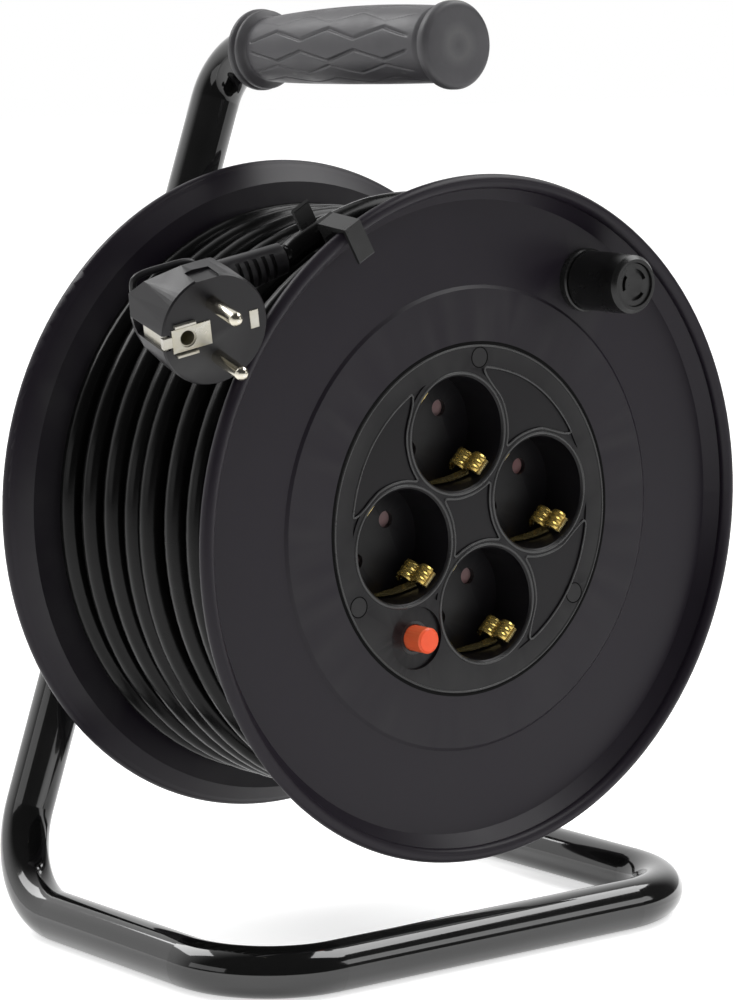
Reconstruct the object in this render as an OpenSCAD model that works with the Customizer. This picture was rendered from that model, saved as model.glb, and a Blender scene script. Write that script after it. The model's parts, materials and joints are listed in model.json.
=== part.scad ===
// Cable reel: a wound extension cord on a drum that turns on a bent tube stand.
// X is across, +Y is towards the back, +Z is up. The origin is on the floor, under the middle
// of the reel. Lengths are in millimetres.

/* [Stand] */
// Outside diameter of the bent tube
tube_d = 18; // [16:0.5:19]
// Wall of the bent tube
tube_wall = 1.5; // [1:0.1:2.5]
// Distance between the two floor rails, centre to centre
rail_gap = 206; // [196:1:226]
// Bend radius of the floor corners, at the middle of the tube
floor_bend = 35; // [30:1:42]
// Bend radius between leg and handle, at the middle of the tube
handle_bend = 20; // [18:0.5:24]
// Height of the axle above the floor
axle_h = 155.6; // [152:0.2:175]
// Height of the handle's corner above the axle
handle_rise = 159.2; // [157:0.2:175]
// Slope of the handle, up towards the front, in degrees
handle_slope = 1.9; // [0:0.1:3]
// How far the front rail lies in front of the front flange's edge
rail_forward = 3; // [0:0.5:12]
// Free space between the rear flange's edge and the legs
leg_clear = 16.8; // [15:0.2:24]
// How far the open leg's end stands above the axle
leg_top = 46; // [40:1:60]

/* [Handle grip] */
// Length of the rubber grip
grip_l = 111.5; // [100:0.5:112]
// Diameter of the grip at its fullest
grip_d = 27; // [26:0.5:30]
// Diameter of the grip's round end cap
cap_d = 30.6; // [30:0.2:34]
// Thickness of the end cap
cap_t = 4.6; // [3:0.2:7]

/* [Bearing] */
// Diameter of the axle
axle_d = 16; // [12:0.5:18]
// Running clearance round the axle and the knob's pin, on the radius
run_fit = 0.06; // [0.03:0.01:0.09]
// Thickness of the bearing plate
bearing_t = 3; // [2:0.5:4]
// Width of the bearing plate
bearing_w = 150; // [146:1:170]
// Height of the bearing plate
bearing_h = 66; // [62:1:80]
// Diameter of the plate's bolts
bolt_d = 6; // [4:0.5:7]
// Height of the bolts above and below the axle
bolt_rise = 23; // [20:0.5:24]

/* [Drum] */
// Diameter of both flanges
flange_d = 240; // [236:1:250]
// Diameter of the rolled edge of a flange
rim_d = 5; // [4:0.2:6]
// Distance between the edges of the two flanges, middle to middle
drum_w = 117.7; // [112:0.1:130]
// Wall of a flange
flange_t = 2.5; // [2:0.1:3]
// Depth of a flange's outer face behind its edge
dish = 5.3; // [4:0.1:6]
// Radius of the step in the front flange's face
step_r = 81; // [74:0.5:84]
// Height of that step
step_h = 0.8; // [0.3:0.1:1.2]
// Outside diameter of the drum core
core_d = 124; // [124:0.5:132]
// Wall of the drum core
core_t = 3; // [2:0.1:3.5]

/* [Socket panel] */
// How far the panel's edge lies inside the core's outside
panel_in = 0.5; // [0.3:0.1:1]
// Thickness of the panel
panel_t = 3.2; // [3:0.1:4]
// Diameter of a socket's recess
recess_d = 40; // [38:0.2:40.4]
// Depth of a socket's recess
recess_depth = 18.5; // [17.5:0.1:19]
// Wall of a recess
recess_t = 1.5; // [1:0.1:1.6]
// Radius on which the four sockets lie
socket_r = 31.2; // [30.8:0.1:31.6]
// Direction of the first socket, in degrees
socket_turn = 12.5; // [10:0.5:15]
// Direction of the line through a socket's two holes, in degrees
pin_line = 46; // [44:0.5:48]
// Distance between a socket's two holes
pin_gap = 19; // [18.6:0.1:19.4]
// Diameter of a pin hole
hole_d = 6; // [5.2:0.1:6.4]
// Travel of the reset button
button_travel = 3; // [1:0.5:4]
// Diameter of the reset button
button_d = 9; // [7:0.5:9.5]

/* [Crank knob] */
// Distance of the knob's middle from the flange's outside
knob_in = 24.3; // [23:0.1:27]
// Direction of the knob, in degrees
knob_turn = 57.5; // [45:0.5:75]
// Diameter of the turning knob
knob_d = 21; // [19:0.5:24]
// How far the knob stands in front of the flange's edge
knob_out = 22; // [18:0.5:30]
// Diameter of the knob's pin
knob_pin_d = 10; // [8:0.5:11]

/* [Cable] */
// Diameter of the cable
cable_d = 8.6; // [8:0.1:9]
// Turns in the outer layer
turns = 9.6; // [7.6:1:9.6]
// Radius of the middle of the outer layer
wind_r = 100.8; // [96:0.1:101]
// Diameter of the plug's round face
plug_d = 38; // [36:0.5:38]

/* [Hidden] */
$fn = 64;

fit = 0.05;                        // clearance between pieces that are fixed to each other
gap = 0.3;                         // clearance between pieces that only pass each other

// Stand
tube_r = tube_d / 2;
rail_x = rail_gap / 2;
leg_back = drum_w + rim_d / 2 + leg_clear + tube_r;    // legs' middle plane, from the front edge
nut_h = 5;
bolt_r = bolt_d / 2;
reel_front = -knob_out;
reel_back = leg_back + tube_r + nut_h;
edge_y = -(reel_front + reel_back) / 2;                // front flange's edge plane in the part
leg_y = edge_y + leg_back;
rail_y = edge_y - rail_forward;
corner_z = axle_h + handle_rise;
grip_start = handle_bend;                              // along the handle from its corner
handle_l = grip_start + grip_l - cap_t - 1;
bend_thin = 0.02;                                      // each face of the wall, in a bend
leg_end_z = axle_h + leg_top;

// Bearing, in distances behind the front flange's edge plane
plate_back = leg_back - tube_r;
plate_front = plate_back - bearing_t;
axle_r = axle_d / 2;
axle_collar_t = 2.5;
axle_collar_r = axle_r + 6;
groove_r = axle_r - 1.2;
washer_t = 1.4;
hub_back = plate_front - axle_collar_t - washer_t - 2 * gap;
bush_t = 3;
bush_head_t = 1.6;
hub_r = axle_r + bush_t + 4.5;
hub_front = hub_back - 27;
clip_t = 1.4;
clip_back = hub_front - bush_head_t - gap;
axle_tip = clip_back - clip_t - 2;

// Drum, in distances behind the front flange's edge plane
flange_r = flange_d / 2;
rim_r = rim_d / 2;
dish_r = flange_r - 9;
face_y = dish - step_h;                                // front face of the panel
core_r = core_d / 2;
panel_r = core_r - panel_in;
ledge_y = face_y + panel_t;
ledge_t = 2.5;
ledge_in = panel_r - 8;
core_front = ledge_y + ledge_t;
rear_back = drum_w - dish;                             // rear flange's back face
rear_front = rear_back - flange_t;
post_r = 4;
post_c = core_r - 6;
post_turns = [57.5, 177.5, 297.5];
drum_screw_r = 2;
drum_screw_head = 2.4;

// Socket panel
recess_r = recess_d / 2;
floor_y = face_y + recess_depth;
floor_t = 2;
shutter_y = floor_y + floor_t + 0.2;
shutter_t = 1.4;
carrier_y = shutter_y + shutter_t + 0.3;
carrier_t = 2.4;
sleeve_y = carrier_y + 0.4;
sleeve_r = 3.2;
live_y = sleeve_y + 3.2;
neutral_y = live_y + 8;
bar_t = 1;
bridge_y = neutral_y + 3.4;
bridge_t = 0.8;
middle_post_r = 4;
middle_screw_r = 1.5;
cover_back = bridge_y + 4.4;
cover_t = 1.5;
cover_r = post_c - post_r - 0.4;
screw_turns = [87, 207, 327];
screw_c = panel_r - 5;
cap_r = 3.5;
cap_seat = 2.2;                                        // depth of a cap's and screw head's hole
panel_screw_r = 1.5;
well_r = 11;                                           // the shallow round well about the button
well_depth = 1.2;
button_c = 46.4;
button_turn = 237.5;
button_out = 7;
button_r = button_d / 2;
breaker_w = 14;
breaker_h = 12;
breaker_neck = 5.9;
breaker_back = floor_y + 12;
socket_turns = [for (k = [0 : 3]) socket_turn + 90 * k];
pivot_r = 2;
contact_r = recess_r - 1.5;                            // where the earth clips' legs stand
strip_w = 4;

// Crank knob
knob_r = flange_r - knob_in;
knob_base = 2.2;
knob_body_r = knob_d / 2;
knob_pin_r = knob_pin_d / 2;
knob_head_r = 7.4;
knob_stub_r = 6;

// Where the cable goes through the drum core, and its wires behind the panel
inlet_turn = 147;
inlet_y = 70;
inlet_stub = 14;
inlet_bend = 18;
inlet_sweep = 75;
gland_r = 7.5;
wire_r = 1.2;
inlet_r = core_r - core_t;
inner_end = turn_to(inlet_turn, inlet_r - inlet_stub - inlet_bend * sin(inlet_sweep))
  + [0, inlet_y - inlet_bend + inlet_bend * cos(inlet_sweep), 0];
inner_way = turn_to(inlet_turn, -cos(inlet_sweep)) + [0, -sin(inlet_sweep), 0];
live_end = turn_to(button_turn, button_c) - turn_to(button_turn + 90, 4) + [0, breaker_back + 5.6, 0];
neutral_end = turn_to(pin_line, -pin_gap / 2) + turn_to(inlet_turn, socket_r)
  + [0, neutral_y + bar_t + 0.1, 0];
earth_end = turn_to(pin_line, socket_r * 0.6) + [0, bridge_y + 2 * bridge_t + 0.1, 0];

// Cable
cable_r = cable_d / 2;
wind_front = 12.8;
wind_back = rear_front - cable_r - 0.6;
wind_end = 60;                                         // direction where the lead leaves, in degrees
rings = 24;
sway = 0.25;
last = round(turns * rings);
cable_core_r = wind_r * cos(180 / rings) - cable_r - gap;
core_gap = 0.35;

// The lead: through the clip to the plug, as [across, back, above the axle]
lead_points = [
  [18, 13.4, 102.9], [0, 13.8, 107.8], [-19, 14.2, 110], [-35, 14.6, 109], [-46.8, 14.8, 106.2],
  [-58, 15, 102.1], [-66, 17, 97.3]
];
clip_turn = 119.6;
clip_c = 15;                                           // middle of the cable in the clip
clip_bed = flange_r - 8.8;

// The plug: middle of its face, and its turns about X, Y and Z
plug_at = [-118, -6.1, 74.1];
plug_turns = [104, -12.7, -12];
plug_r = plug_d / 2;
plug_cord = 35;                                        // cord's middle line, behind the face
plug_back = 39;
relief_start = 18;
relief_l = 25;
relief_rise = 4;
relief_big = 7;
relief_small = 5.4;
prong_r = 2.4;
prong_l = 19;
root_r = 3;                                            // a pin's root, moulded into the plug
root_l = 8;

function unit(v) = v / norm(v);
function fine(v) = round(v * 1000) / 1000;
function leg_x(z) = rail_x * (corner_z - z) / (corner_z - tube_r);
function turn_to(a, r) = [r * cos(a), 0, r * sin(a)];

// Rigid placing by an origin and two directions: local Z along z, local X along x.
module placed(at, z, x) {
  y = cross(z, x);
  multmatrix([
    [x[0], y[0], z[0], at[0]],
    [x[1], y[1], z[1], at[1]],
    [x[2], y[2], z[2], at[2]],
    [0, 0, 0, 1]
  ]) children();
}

// The drum's own place: Y = 0 at the front flange's edge, the axle along Y.
module on_drum() { translate([0, edge_y, axle_h]) children(); }

// A place at a direction and radius, seen from the front. There X points outwards.
module around(turn, r) { rotate([0, -turn, 0]) translate([r, 0, 0]) children(); }

// Local Z becomes the direction towards the back.
module backwards() { rotate([-90, 0, 0]) children(); }

// A disc or ring along Y, from y0 to y1.
module disc(y0, y1, r) { translate([0, y0, 0]) backwards() cylinder(h = y1 - y0, r = r); }

// A shape turned about the drum's axis from a profile of [radius, y].
module turned(profile) { backwards() rotate_extrude($fn = 144) polygon(profile); }

module rounded_rect(w, h, r) {
  square([w - 2 * r, h], center = true);
  square([w, h - 2 * r], center = true);
  for (x = [-1, 1], y = [-1, 1]) translate([x * (w / 2 - r), y * (h / 2 - r)]) circle(r);
}

// ---- stand ----

// The tube's wall. It is drawn a little thinner where it was bent.
module tube_section(thin = 0) {
  difference() {
    circle(tube_r - thin);
    circle(tube_r - tube_wall + thin);
  }
}

// A bent tube through corner points, with one bend radius for each inner corner. It is made as a
// bender makes it: feed a straight length, roll the tube, bend it, and go on from there.
module bent_tube(points, radii) {
  n = len(points);
  way = [for (i = [0 : n - 2]) unit(points[i + 1] - points[i])];
  turn = [for (i = [0 : n - 3]) fine(acos(way[i] * way[i + 1]))];
  cut = concat([0], [for (i = [0 : n - 3]) radii[i] * tan(turn[i] / 2)], [0]);
  feed = [for (i = [0 : n - 2]) fine(norm(points[i + 1] - points[i]) - cut[i] - cut[i + 1])];
  inward = [for (i = [0 : n - 3]) unit(way[i + 1] - (way[i + 1] * way[i]) * way[i])];
  roll = [for (i = [0 : n - 3]) i == 0 ? 0 : let(x = cross(cross(way[i - 1], inward[i - 1]), way[i]))
    fine(atan2(cross(x, inward[i]) * way[i], x * inward[i]))];
  placed(points[0], way[0], inward[0]) tube_run(feed, roll, turn, radii, 0);
}

module tube_run(feed, roll, turn, radii, i) {
  linear_extrude(feed[i]) tube_section();
  if (i < len(turn)) translate([0, 0, feed[i]]) rotate([0, 0, roll[i]]) translate([radii[i], 0, 0]) {
    rotate([90, 0, 180]) rotate_extrude(angle = turn[i]) translate([radii[i], 0])
      tube_section(bend_thin);
    rotate([0, turn[i], 0]) translate([-radii[i], 0, 0]) tube_run(feed, roll, turn, radii, i + 1);
  }
}

handle_way = [0, -cos(handle_slope), sin(handle_slope)];
top_corner = [0, leg_y, corner_z];

module frame_tube() {
  color([0.07, 0.07, 0.08])
  difference() {
    bent_tube([
      top_corner + handle_way * handle_l,
      top_corner,
      [-rail_x, leg_y, tube_r],
      [-rail_x, rail_y, tube_r],
      [rail_x, rail_y, tube_r],
      [rail_x, leg_y, tube_r],
      [leg_x(leg_end_z), leg_y, leg_end_z]
    ], [handle_bend, floor_bend, floor_bend, floor_bend, floor_bend]);
    for (s = [-1, 1], z = [-bolt_rise, bolt_rise])
      translate([s * leg_x(axle_h + z), leg_y - tube_r - 1, axle_h + z])
        backwards() cylinder(h = tube_d + 2, r = bolt_r + fit);
  }
}

module tube_end_plug() {
  head_t = 2.5;
  color([0.12, 0.12, 0.12])
  placed([leg_x(leg_end_z), leg_y, leg_end_z], unit([-rail_x, 0, corner_z - tube_r]), [0, 1, 0]) {
    translate([0, 0, -12]) cylinder(h = 12, r = tube_r - tube_wall - fit);
    cylinder(h = head_t - 1, r = tube_r);
    translate([0, 0, head_t - 1]) cylinder(h = 1, r1 = tube_r, r2 = tube_r - 1);
  }
}

// Grip profile in [radius, distance from its back end]
module handle_grip() {
  body_r = grip_d / 2;
  cap_rr = cap_d / 2;
  bore_r = tube_r + fit;
  collar_r = body_r + 1;
  neck_r = body_r - 1.6;
  body_end = grip_l - cap_t - 2;
  color([0.2, 0.2, 0.21])
  placed(top_corner + handle_way * grip_start, handle_way, [1, 0, 0])
  rotate_extrude($fn = 96) {
    difference() {
      polygon(concat(
        [[0, 0], [collar_r - 0.8, 0], [collar_r, 0.8], [collar_r, 4.4], [neck_r, 5.2], [neck_r, 6.4]],
        [[collar_r, 7.2], [collar_r, 9.6], [neck_r, 10.6], [neck_r, 12]],
        [for (i = [0 : 10]) [neck_r + (body_r - neck_r) * sin(180 * i / 10) ^ 0.5,
          13 + (body_end - 15) * i / 10]],
        [[neck_r, body_end], [cap_rr - 0.9, grip_l - cap_t], [cap_rr, grip_l - cap_t + 0.9]],
        [[cap_rr, grip_l - 1.6], [cap_rr - 1.6, grip_l], [0, grip_l]]
      ));
      translate([0, -1]) square([bore_r, handle_l - grip_start + 1 + gap]);
    }
  }
}

module bearing_plate() {
  color([0.1, 0.1, 0.11])
  on_drum() translate([0, plate_front, 0]) backwards() difference() {
    union() {
      linear_extrude(bearing_t) rounded_rect(bearing_w, bearing_h, 10);
      for (s = [-1, 1]) translate([-bearing_w / 2 + 24, s * 12 - 2, -2]) cube([bearing_w - 48, 4, 2]);
    }
    translate([0, 0, -3]) cylinder(h = bearing_t + 4, r = axle_r + fit);
    translate([0, 0, -3]) cylinder(h = 3, r = axle_collar_r + 1);
    for (s = [-1, 1], z = [-bolt_rise, bolt_rise])
      translate([s * leg_x(axle_h + z), -z, -1]) cylinder(h = bearing_t + 2, r = bolt_r + fit);
  }
}

module at_bolts() {
  for (s = [-1, 1], z = [-bolt_rise, bolt_rise])
    on_drum() translate([s * leg_x(axle_h + z), 0, z]) children();
}

module plate_bolts() {
  head_t = 3;
  color([0.55, 0.56, 0.58])
  at_bolts() {
    disc(plate_front - head_t, plate_front, bolt_r * 1.75);
    disc(plate_front, leg_back + tube_r + nut_h - 1, bolt_r);
  }
}

module plate_nuts() {
  color([0.55, 0.56, 0.58])
  at_bolts() translate([0, leg_back + tube_r, 0]) backwards() difference() {
    union() {
      cylinder(h = nut_h - 1.5, r = bolt_r * 1.85, $fn = 6);
      cylinder(h = nut_h, r = bolt_r * 1.35);
    }
    translate([0, 0, -1]) cylinder(h = nut_h, r = bolt_r + fit);
  }
}

module axle_shaft() {
  color([0.6, 0.61, 0.63])
  on_drum() turned([
    [0, axle_tip], [axle_r - 1, axle_tip], [axle_r, axle_tip + 1], [axle_r, clip_back - clip_t - fit],
    [groove_r, clip_back - clip_t - fit], [groove_r, clip_back + fit],
    [axle_r, clip_back + fit], [axle_r, plate_front - axle_collar_t],
    [axle_collar_r, plate_front - axle_collar_t], [axle_collar_r, plate_front], [axle_r, plate_front],
    [axle_r, plate_back], [0, plate_back]
  ]);
}

module thrust_washer() {
  color([0.8, 0.79, 0.74])
  on_drum() difference() {
    disc(hub_back + gap, hub_back + gap + washer_t, axle_collar_r);
    disc(hub_back - 1, hub_back + washer_t + 1, axle_r + run_fit);
  }
}

module retaining_clip() {
  color([0.45, 0.46, 0.48])
  on_drum() difference() {
    disc(clip_back - clip_t, clip_back, axle_r + 4);
    disc(clip_back - clip_t - 1, clip_back + 1, groove_r + fit);
    translate([0, clip_back - clip_t - 1, -2.5]) cube([axle_r + 6, clip_t + 2, 5]);
  }
}

// ---- drum ----

// The dished outer part of a flange: a plate with a rolled edge, as [radius, y] from its face.
module flange_edge(inner_r) {
  polygon([
    [inner_r, dish], [dish_r, dish], [flange_r - rim_d + 0.8, rim_r * 0.3],
    [flange_r - 0.6, rim_r * 0.6], [flange_r - rim_r, rim_r + 0.9], [dish_r + 1.4, dish + flange_t],
    [inner_r, dish + flange_t]
  ]);
  translate([flange_r - rim_r, 0]) circle(rim_r, $fn = 32);
}

module front_flange() {
  color([0.09, 0.09, 0.1])
  on_drum() difference() {
    backwards() rotate_extrude($fn = 144) {
      flange_edge(step_r);
      polygon([
        [panel_r + fit, face_y], [step_r - 0.6, face_y], [step_r + 0.6, dish],
        [step_r + 0.6, dish + flange_t], [core_r, dish + flange_t], [core_r, core_front],
        [ledge_in, core_front], [ledge_in, ledge_y], [panel_r + fit, ledge_y]
      ]);
    }
    for (a = post_turns) around(a, post_c) disc(ledge_y - 1, core_front + 1, drum_screw_r + fit);
    for (a = screw_turns) around(a, screw_c) disc(ledge_y - 1, core_front + 1, panel_screw_r + fit);
    around(knob_turn, knob_r) disc(0, dish + flange_t + 2, knob_stub_r + fit);
  }
}

module rear_flange() {
  rib_n = 8;
  rib_w = 2.2;
  color([0.09, 0.09, 0.1])
  on_drum() difference() {
    union() {
      backwards() rotate_extrude($fn = 144) {
        translate([0, drum_w]) mirror([0, 1]) flange_edge(core_r);
        polygon([
          [0, rear_front], [core_r + 1, rear_front], [core_r + 1, rear_back], [hub_r, rear_back],
          [hub_r, hub_back], [0, hub_back]
        ]);
        polygon([[0, hub_front], [hub_r, hub_front], [hub_r, rear_front + 1], [0, rear_front + 1]]);
        polygon([
          [core_r - 2, rear_back - 1], [core_r, rear_back - 1], [core_r, rear_back + 6],
          [core_r - 2, rear_back + 6]
        ]);
      }
      for (i = [0 : rib_n - 1]) rotate([0, 22.5 + i * 360 / rib_n, 0])
        translate([hub_r - 1, rear_back - 0.5, -rib_w / 2]) cube([core_r - hub_r, 6, rib_w]);
    }
    disc(hub_front - 1, hub_back + 1, axle_r + bush_t + fit);
    for (a = post_turns) around(a, post_c) {
      disc(rear_front - 1, rear_back + 8, drum_screw_r + fit);
      disc(rear_back, rear_back + 8, drum_screw_r * 2 + fit);
    }
  }
}

module hub_bush() {
  color([0.86, 0.84, 0.78])
  on_drum() turned([
    [axle_r + run_fit, hub_front - bush_head_t], [axle_r + bush_t + 2.5, hub_front - bush_head_t],
    [axle_r + bush_t + 2.5, hub_front], [axle_r + bush_t, hub_front], [axle_r + bush_t, hub_back],
    [axle_r + run_fit, hub_back]
  ]);
}

// The core's ring with its three screw posts, seen from the back.
module core_section() {
  difference() {
    circle(core_r);
    difference() {
      circle(core_r - core_t);
      for (a = post_turns) rotate(-a) translate([post_c, 0]) circle(post_r);
    }
    for (a = post_turns) rotate(-a) translate([post_c, 0]) circle(drum_screw_r + fit);
  }
}

module drum_core() {
  color([0.13, 0.13, 0.14])
  on_drum() difference() {
    translate([0, core_front, 0]) backwards() linear_extrude(rear_front - core_front) core_section();
    around(inlet_turn, core_r - core_t - 4) translate([0, inlet_y, 0])
      rotate([0, 90, 0]) cylinder(h = core_t + 8, r = gland_r + fit);
  }
}

module drum_screws() {
  color([0.6, 0.61, 0.62])
  on_drum() for (a = post_turns) around(a, post_c) {
    disc(ledge_y + 0.2, rear_back, drum_screw_r);
    difference() {
      disc(rear_back, rear_back + drum_screw_head, drum_screw_r * 2);
      for (t = [0, 90]) translate([0, rear_back + drum_screw_head, 0]) rotate([0, t, 0])
        cube([drum_screw_r * 2.4, 2, 1], center = true);
    }
  }
}

// ---- socket panel ----

module at_sockets() {
  for (a = socket_turns) translate(turn_to(a, socket_r)) children();
}

// Middle of one hole of a socket: side is 1 or -1.
function hole_at(side) = turn_to(pin_line, side * pin_gap / 2);

module socket_panel() {
  edge = 0.5;
  color([0.1, 0.1, 0.11])
  on_drum() difference() {
    union() {
      disc(face_y, ledge_y, panel_r);
      at_sockets() disc(face_y + 1, floor_y + floor_t, recess_r + recess_t);
      around(button_turn, button_c) disc(face_y + 0.2, ledge_y + 1, breaker_neck + 1);
      disc(ledge_y - 1, carrier_y, middle_post_r);
    }
    disc(carrier_y - 14, carrier_y + 1, middle_screw_r + fit);
    at_sockets() {
      disc(face_y - 1, floor_y, recess_r);
      backwards() translate([0, 0, face_y - 0.01])
        cylinder(h = edge, r1 = recess_r + edge, r2 = recess_r);
      for (side = [-1, 1]) {
        translate(hole_at(side)) disc(floor_y - 1, floor_y + floor_t + 1, hole_d / 2);
        rotate([0, -(pin_line - side * 90), 0])
          translate([contact_r - 1.4, floor_y - 1, -strip_w / 2 - 0.3])
            cube([2.2, floor_t + 2, strip_w + 0.6]);
      }
    }
    for (a = screw_turns) around(a, screw_c) {
      disc(face_y - 1, face_y + cap_seat, cap_r + fit);
      disc(face_y, ledge_y + 1, panel_screw_r + fit);
    }
    around(button_turn, button_c) {
      disc(face_y - 1, face_y + well_depth, well_r);
      disc(face_y, ledge_y + 2, breaker_neck + fit);
    }
    panel_pockets();
  }
}

// Shallow fields between the sockets: three at the rim and one four-pointed in the middle.
module panel_pockets() {
  depth = 0.5;
  rim_land = 8.6;
  web = 3;
  spoke = 8;
  button_land = 60;
  translate([0, face_y - 1, 0]) backwards() linear_extrude(1 + depth) difference() {
    circle(panel_r - rim_land);
    for (a = socket_turns) rotate(-a) translate([socket_r, 0]) circle(recess_r + web);
    rotate(-button_turn) translate([socket_r, -button_land / 2]) square([panel_r, button_land]);
    for (a = socket_turns) rotate(-a) translate([socket_r, -spoke / 2]) square([panel_r, spoke]);
  }
}

module panel_screws() {
  head_t = 1.3;
  head_r = 2.9;
  color([0.6, 0.6, 0.6])
  on_drum() for (a = screw_turns) around(a, screw_c) {
    disc(face_y + cap_seat - head_t, face_y + cap_seat, head_r);
    disc(face_y + cap_seat, core_front - 0.4, panel_screw_r);
  }
}

module screw_caps() {
  color([0.1, 0.1, 0.11])
  on_drum() for (a = screw_turns) around(a, screw_c) disc(face_y, face_y + 0.8, cap_r);
}

// Holes that both the carrier and the cover leave for the thermal breaker.
module breaker_space(y0, y1) {
  around(button_turn, button_c) translate([-breaker_h / 2 - gap, y0, -breaker_w / 2 - gap])
    cube([20, y1 - y0, breaker_w + 2 * gap]);
}

module contact_carrier() {
  color([0.2, 0.2, 0.22])
  on_drum() difference() {
    union() {
      disc(carrier_y, carrier_y + carrier_t, cover_r - cover_t - 0.2);
      at_sockets() disc(shutter_y - 0.1, carrier_y + 1, pivot_r);
    }
    at_sockets() for (side = [-1, 1]) {
      translate(hole_at(side)) disc(carrier_y - 1, carrier_y + carrier_t + 1, sleeve_r + 0.1);
      rotate([0, -(pin_line - side * 90), 0])
        translate([contact_r - 1.4, carrier_y - 1, -strip_w / 2 - 0.3])
          cube([2.2, carrier_t + 2, strip_w + 0.6]);
    }
    disc(carrier_y - 1, carrier_y + carrier_t + 1, middle_screw_r + fit);
    breaker_space(carrier_y - 1, carrier_y + carrier_t + 1);
  }
}

module panel_back_cover() {
  vent_w = 2.4;
  color([0.16, 0.16, 0.17])
  on_drum() difference() {
    union() {
      difference() {
        disc(carrier_y, cover_back, cover_r);
        disc(carrier_y - 1, cover_back - cover_t, cover_r - cover_t);
      }
      disc(carrier_y + carrier_t, cover_back - 0.5, middle_post_r);
    }
    disc(carrier_y, cover_back + 1, middle_screw_r + fit);
    breaker_space(carrier_y - 1, cover_back - cover_t);
    for (i = [-4 : 4], s = [-1, 1]) if (abs(i) > 1)
      translate([i * 6 - vent_w / 2, cover_back - cover_t - 1, s * 15 - 9]) cube([vent_w, cover_t + 2, 18]);
    for (p = [live_end, neutral_end, earth_end])
      translate([p[0], 0, p[2]]) disc(cover_back - cover_t - 1, cover_back + 1, wire_r + 0.5);
  }
}

module cover_screw() {
  head_t = 1.8;
  color([0.6, 0.6, 0.62])
  on_drum() {
    disc(carrier_y - 12, cover_back, middle_screw_r);
    disc(cover_back, cover_back + head_t, middle_screw_r * 2);
  }
}

// One pair of earth clips: sprung fingers on both sides, joined behind the socket.
module earth_clips(a) {
  finger_w = 6;
  slot_w = 0.5;
  wall = contact_r + 0.9;
  bow = [
    [wall, face_y + 2.4], [wall, face_y + 3.4], [16.3, face_y + 6.6], [17.4, face_y + 9.2],
    [15.6, face_y + 12.2], [contact_r + 0.4, floor_y - 1.6], [contact_r + 0.4, floor_y - 0.4],
    [contact_r - 0.4, floor_y - 0.4], [contact_r - 0.4, floor_y - 1.9], [14.7, face_y + 12.4],
    [16.5, face_y + 9.2], [15.4, face_y + 6.5], [wall - 0.9, face_y + 2.4]
  ];
  color([0.85, 0.7, 0.3])
  on_drum() translate(turn_to(a, socket_r)) {
    for (side = [-1, 1]) rotate([0, -(pin_line - side * 90), 0]) {
      difference() {
        translate([0, 0, -finger_w / 2]) linear_extrude(finger_w) polygon(bow);
        for (z = [-1, 1]) translate([10, face_y + 3.2, z * finger_w / 6 - slot_w / 2])
          cube([12, 10.4, slot_w]);
      }
      translate([contact_r - 0.4, floor_y - 0.5, -strip_w / 2])
        cube([0.8, bridge_y + bridge_t - floor_y + 0.5, strip_w]);
      translate([-0.1, bridge_y, -strip_w / 2]) cube([contact_r + 0.2, bridge_t, strip_w]);
      clip_foot(side);
    }
  }
}

// A curved foot that lies on the recess's wall, from the clip towards the mouth.
module clip_foot(side) {
  lie = 0.9;
  reach = 17;
  intersection() {
    difference() {
      disc(face_y + 1, floor_y - 1, contact_r + lie);
      disc(face_y, floor_y, contact_r + 0.1);
    }
    translate([0, face_y + 9, -2]) rotate([38, 0, 0])
      translate([0, -2, -reach]) cube([recess_d, 4, reach]);
  }
}

module earth_clips_1() { earth_clips(socket_turns[0]); }
module earth_clips_2() { earth_clips(socket_turns[1]); }
module earth_clips_3() { earth_clips(socket_turns[2]); }
module earth_clips_4() { earth_clips(socket_turns[3]); }

// An open ring that joins one sleeve of each socket. The gap leaves room for the breaker.
module busbar(side, ring_y) {
  bar_w = 2.4;
  sleeve_l = ring_y + bar_t - sleeve_y + 6 * max(side, 0);
  translate(hole_at(side)) {
    difference() {
      union() {
        translate([0, ring_y, 0]) rotate([0, -(socket_turn - 90), 0]) backwards() mirror([0, 1, 0])
          rotate_extrude(angle = 270, $fn = 96)
            translate([socket_r - bar_w / 2, 0]) square([bar_w, bar_t]);
        for (a = socket_turns) around(a, socket_r) disc(sleeve_y, sleeve_y + sleeve_l, sleeve_r);
      }
      for (a = socket_turns) around(a, socket_r)
        disc(sleeve_y - 1, sleeve_y + sleeve_l + 1, prong_r + 0.1);
    }
  }
}

module live_busbar() { color([0.8, 0.62, 0.35]) on_drum() busbar(1, live_y); }
module neutral_busbar() { color([0.8, 0.62, 0.35]) on_drum() busbar(-1, neutral_y); }

// A flat cross that reaches the bridge of every pair of earth clips.
module earth_busbar() {
  bar_w = 6;
  far = socket_r * cos(pin_line - socket_turn);
  near = socket_r * sin(pin_line - socket_turn);
  reach = far - contact_r + bar_w;
  color([0.8, 0.62, 0.35])
  on_drum() rotate([0, -pin_line, 0]) difference() {
    translate([0, bridge_y + bridge_t + 0.02, 0]) backwards() linear_extrude(bridge_t) {
      square([2 * far + bar_w, bar_w], center = true);
      circle(middle_post_r + 4);
      for (s = [-1, 1]) translate([s * near - bar_w / 2, s < 0 ? 0 : -reach]) square([bar_w, reach]);
    }
    disc(bridge_y, cover_back, middle_post_r + gap);
  }
}

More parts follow.
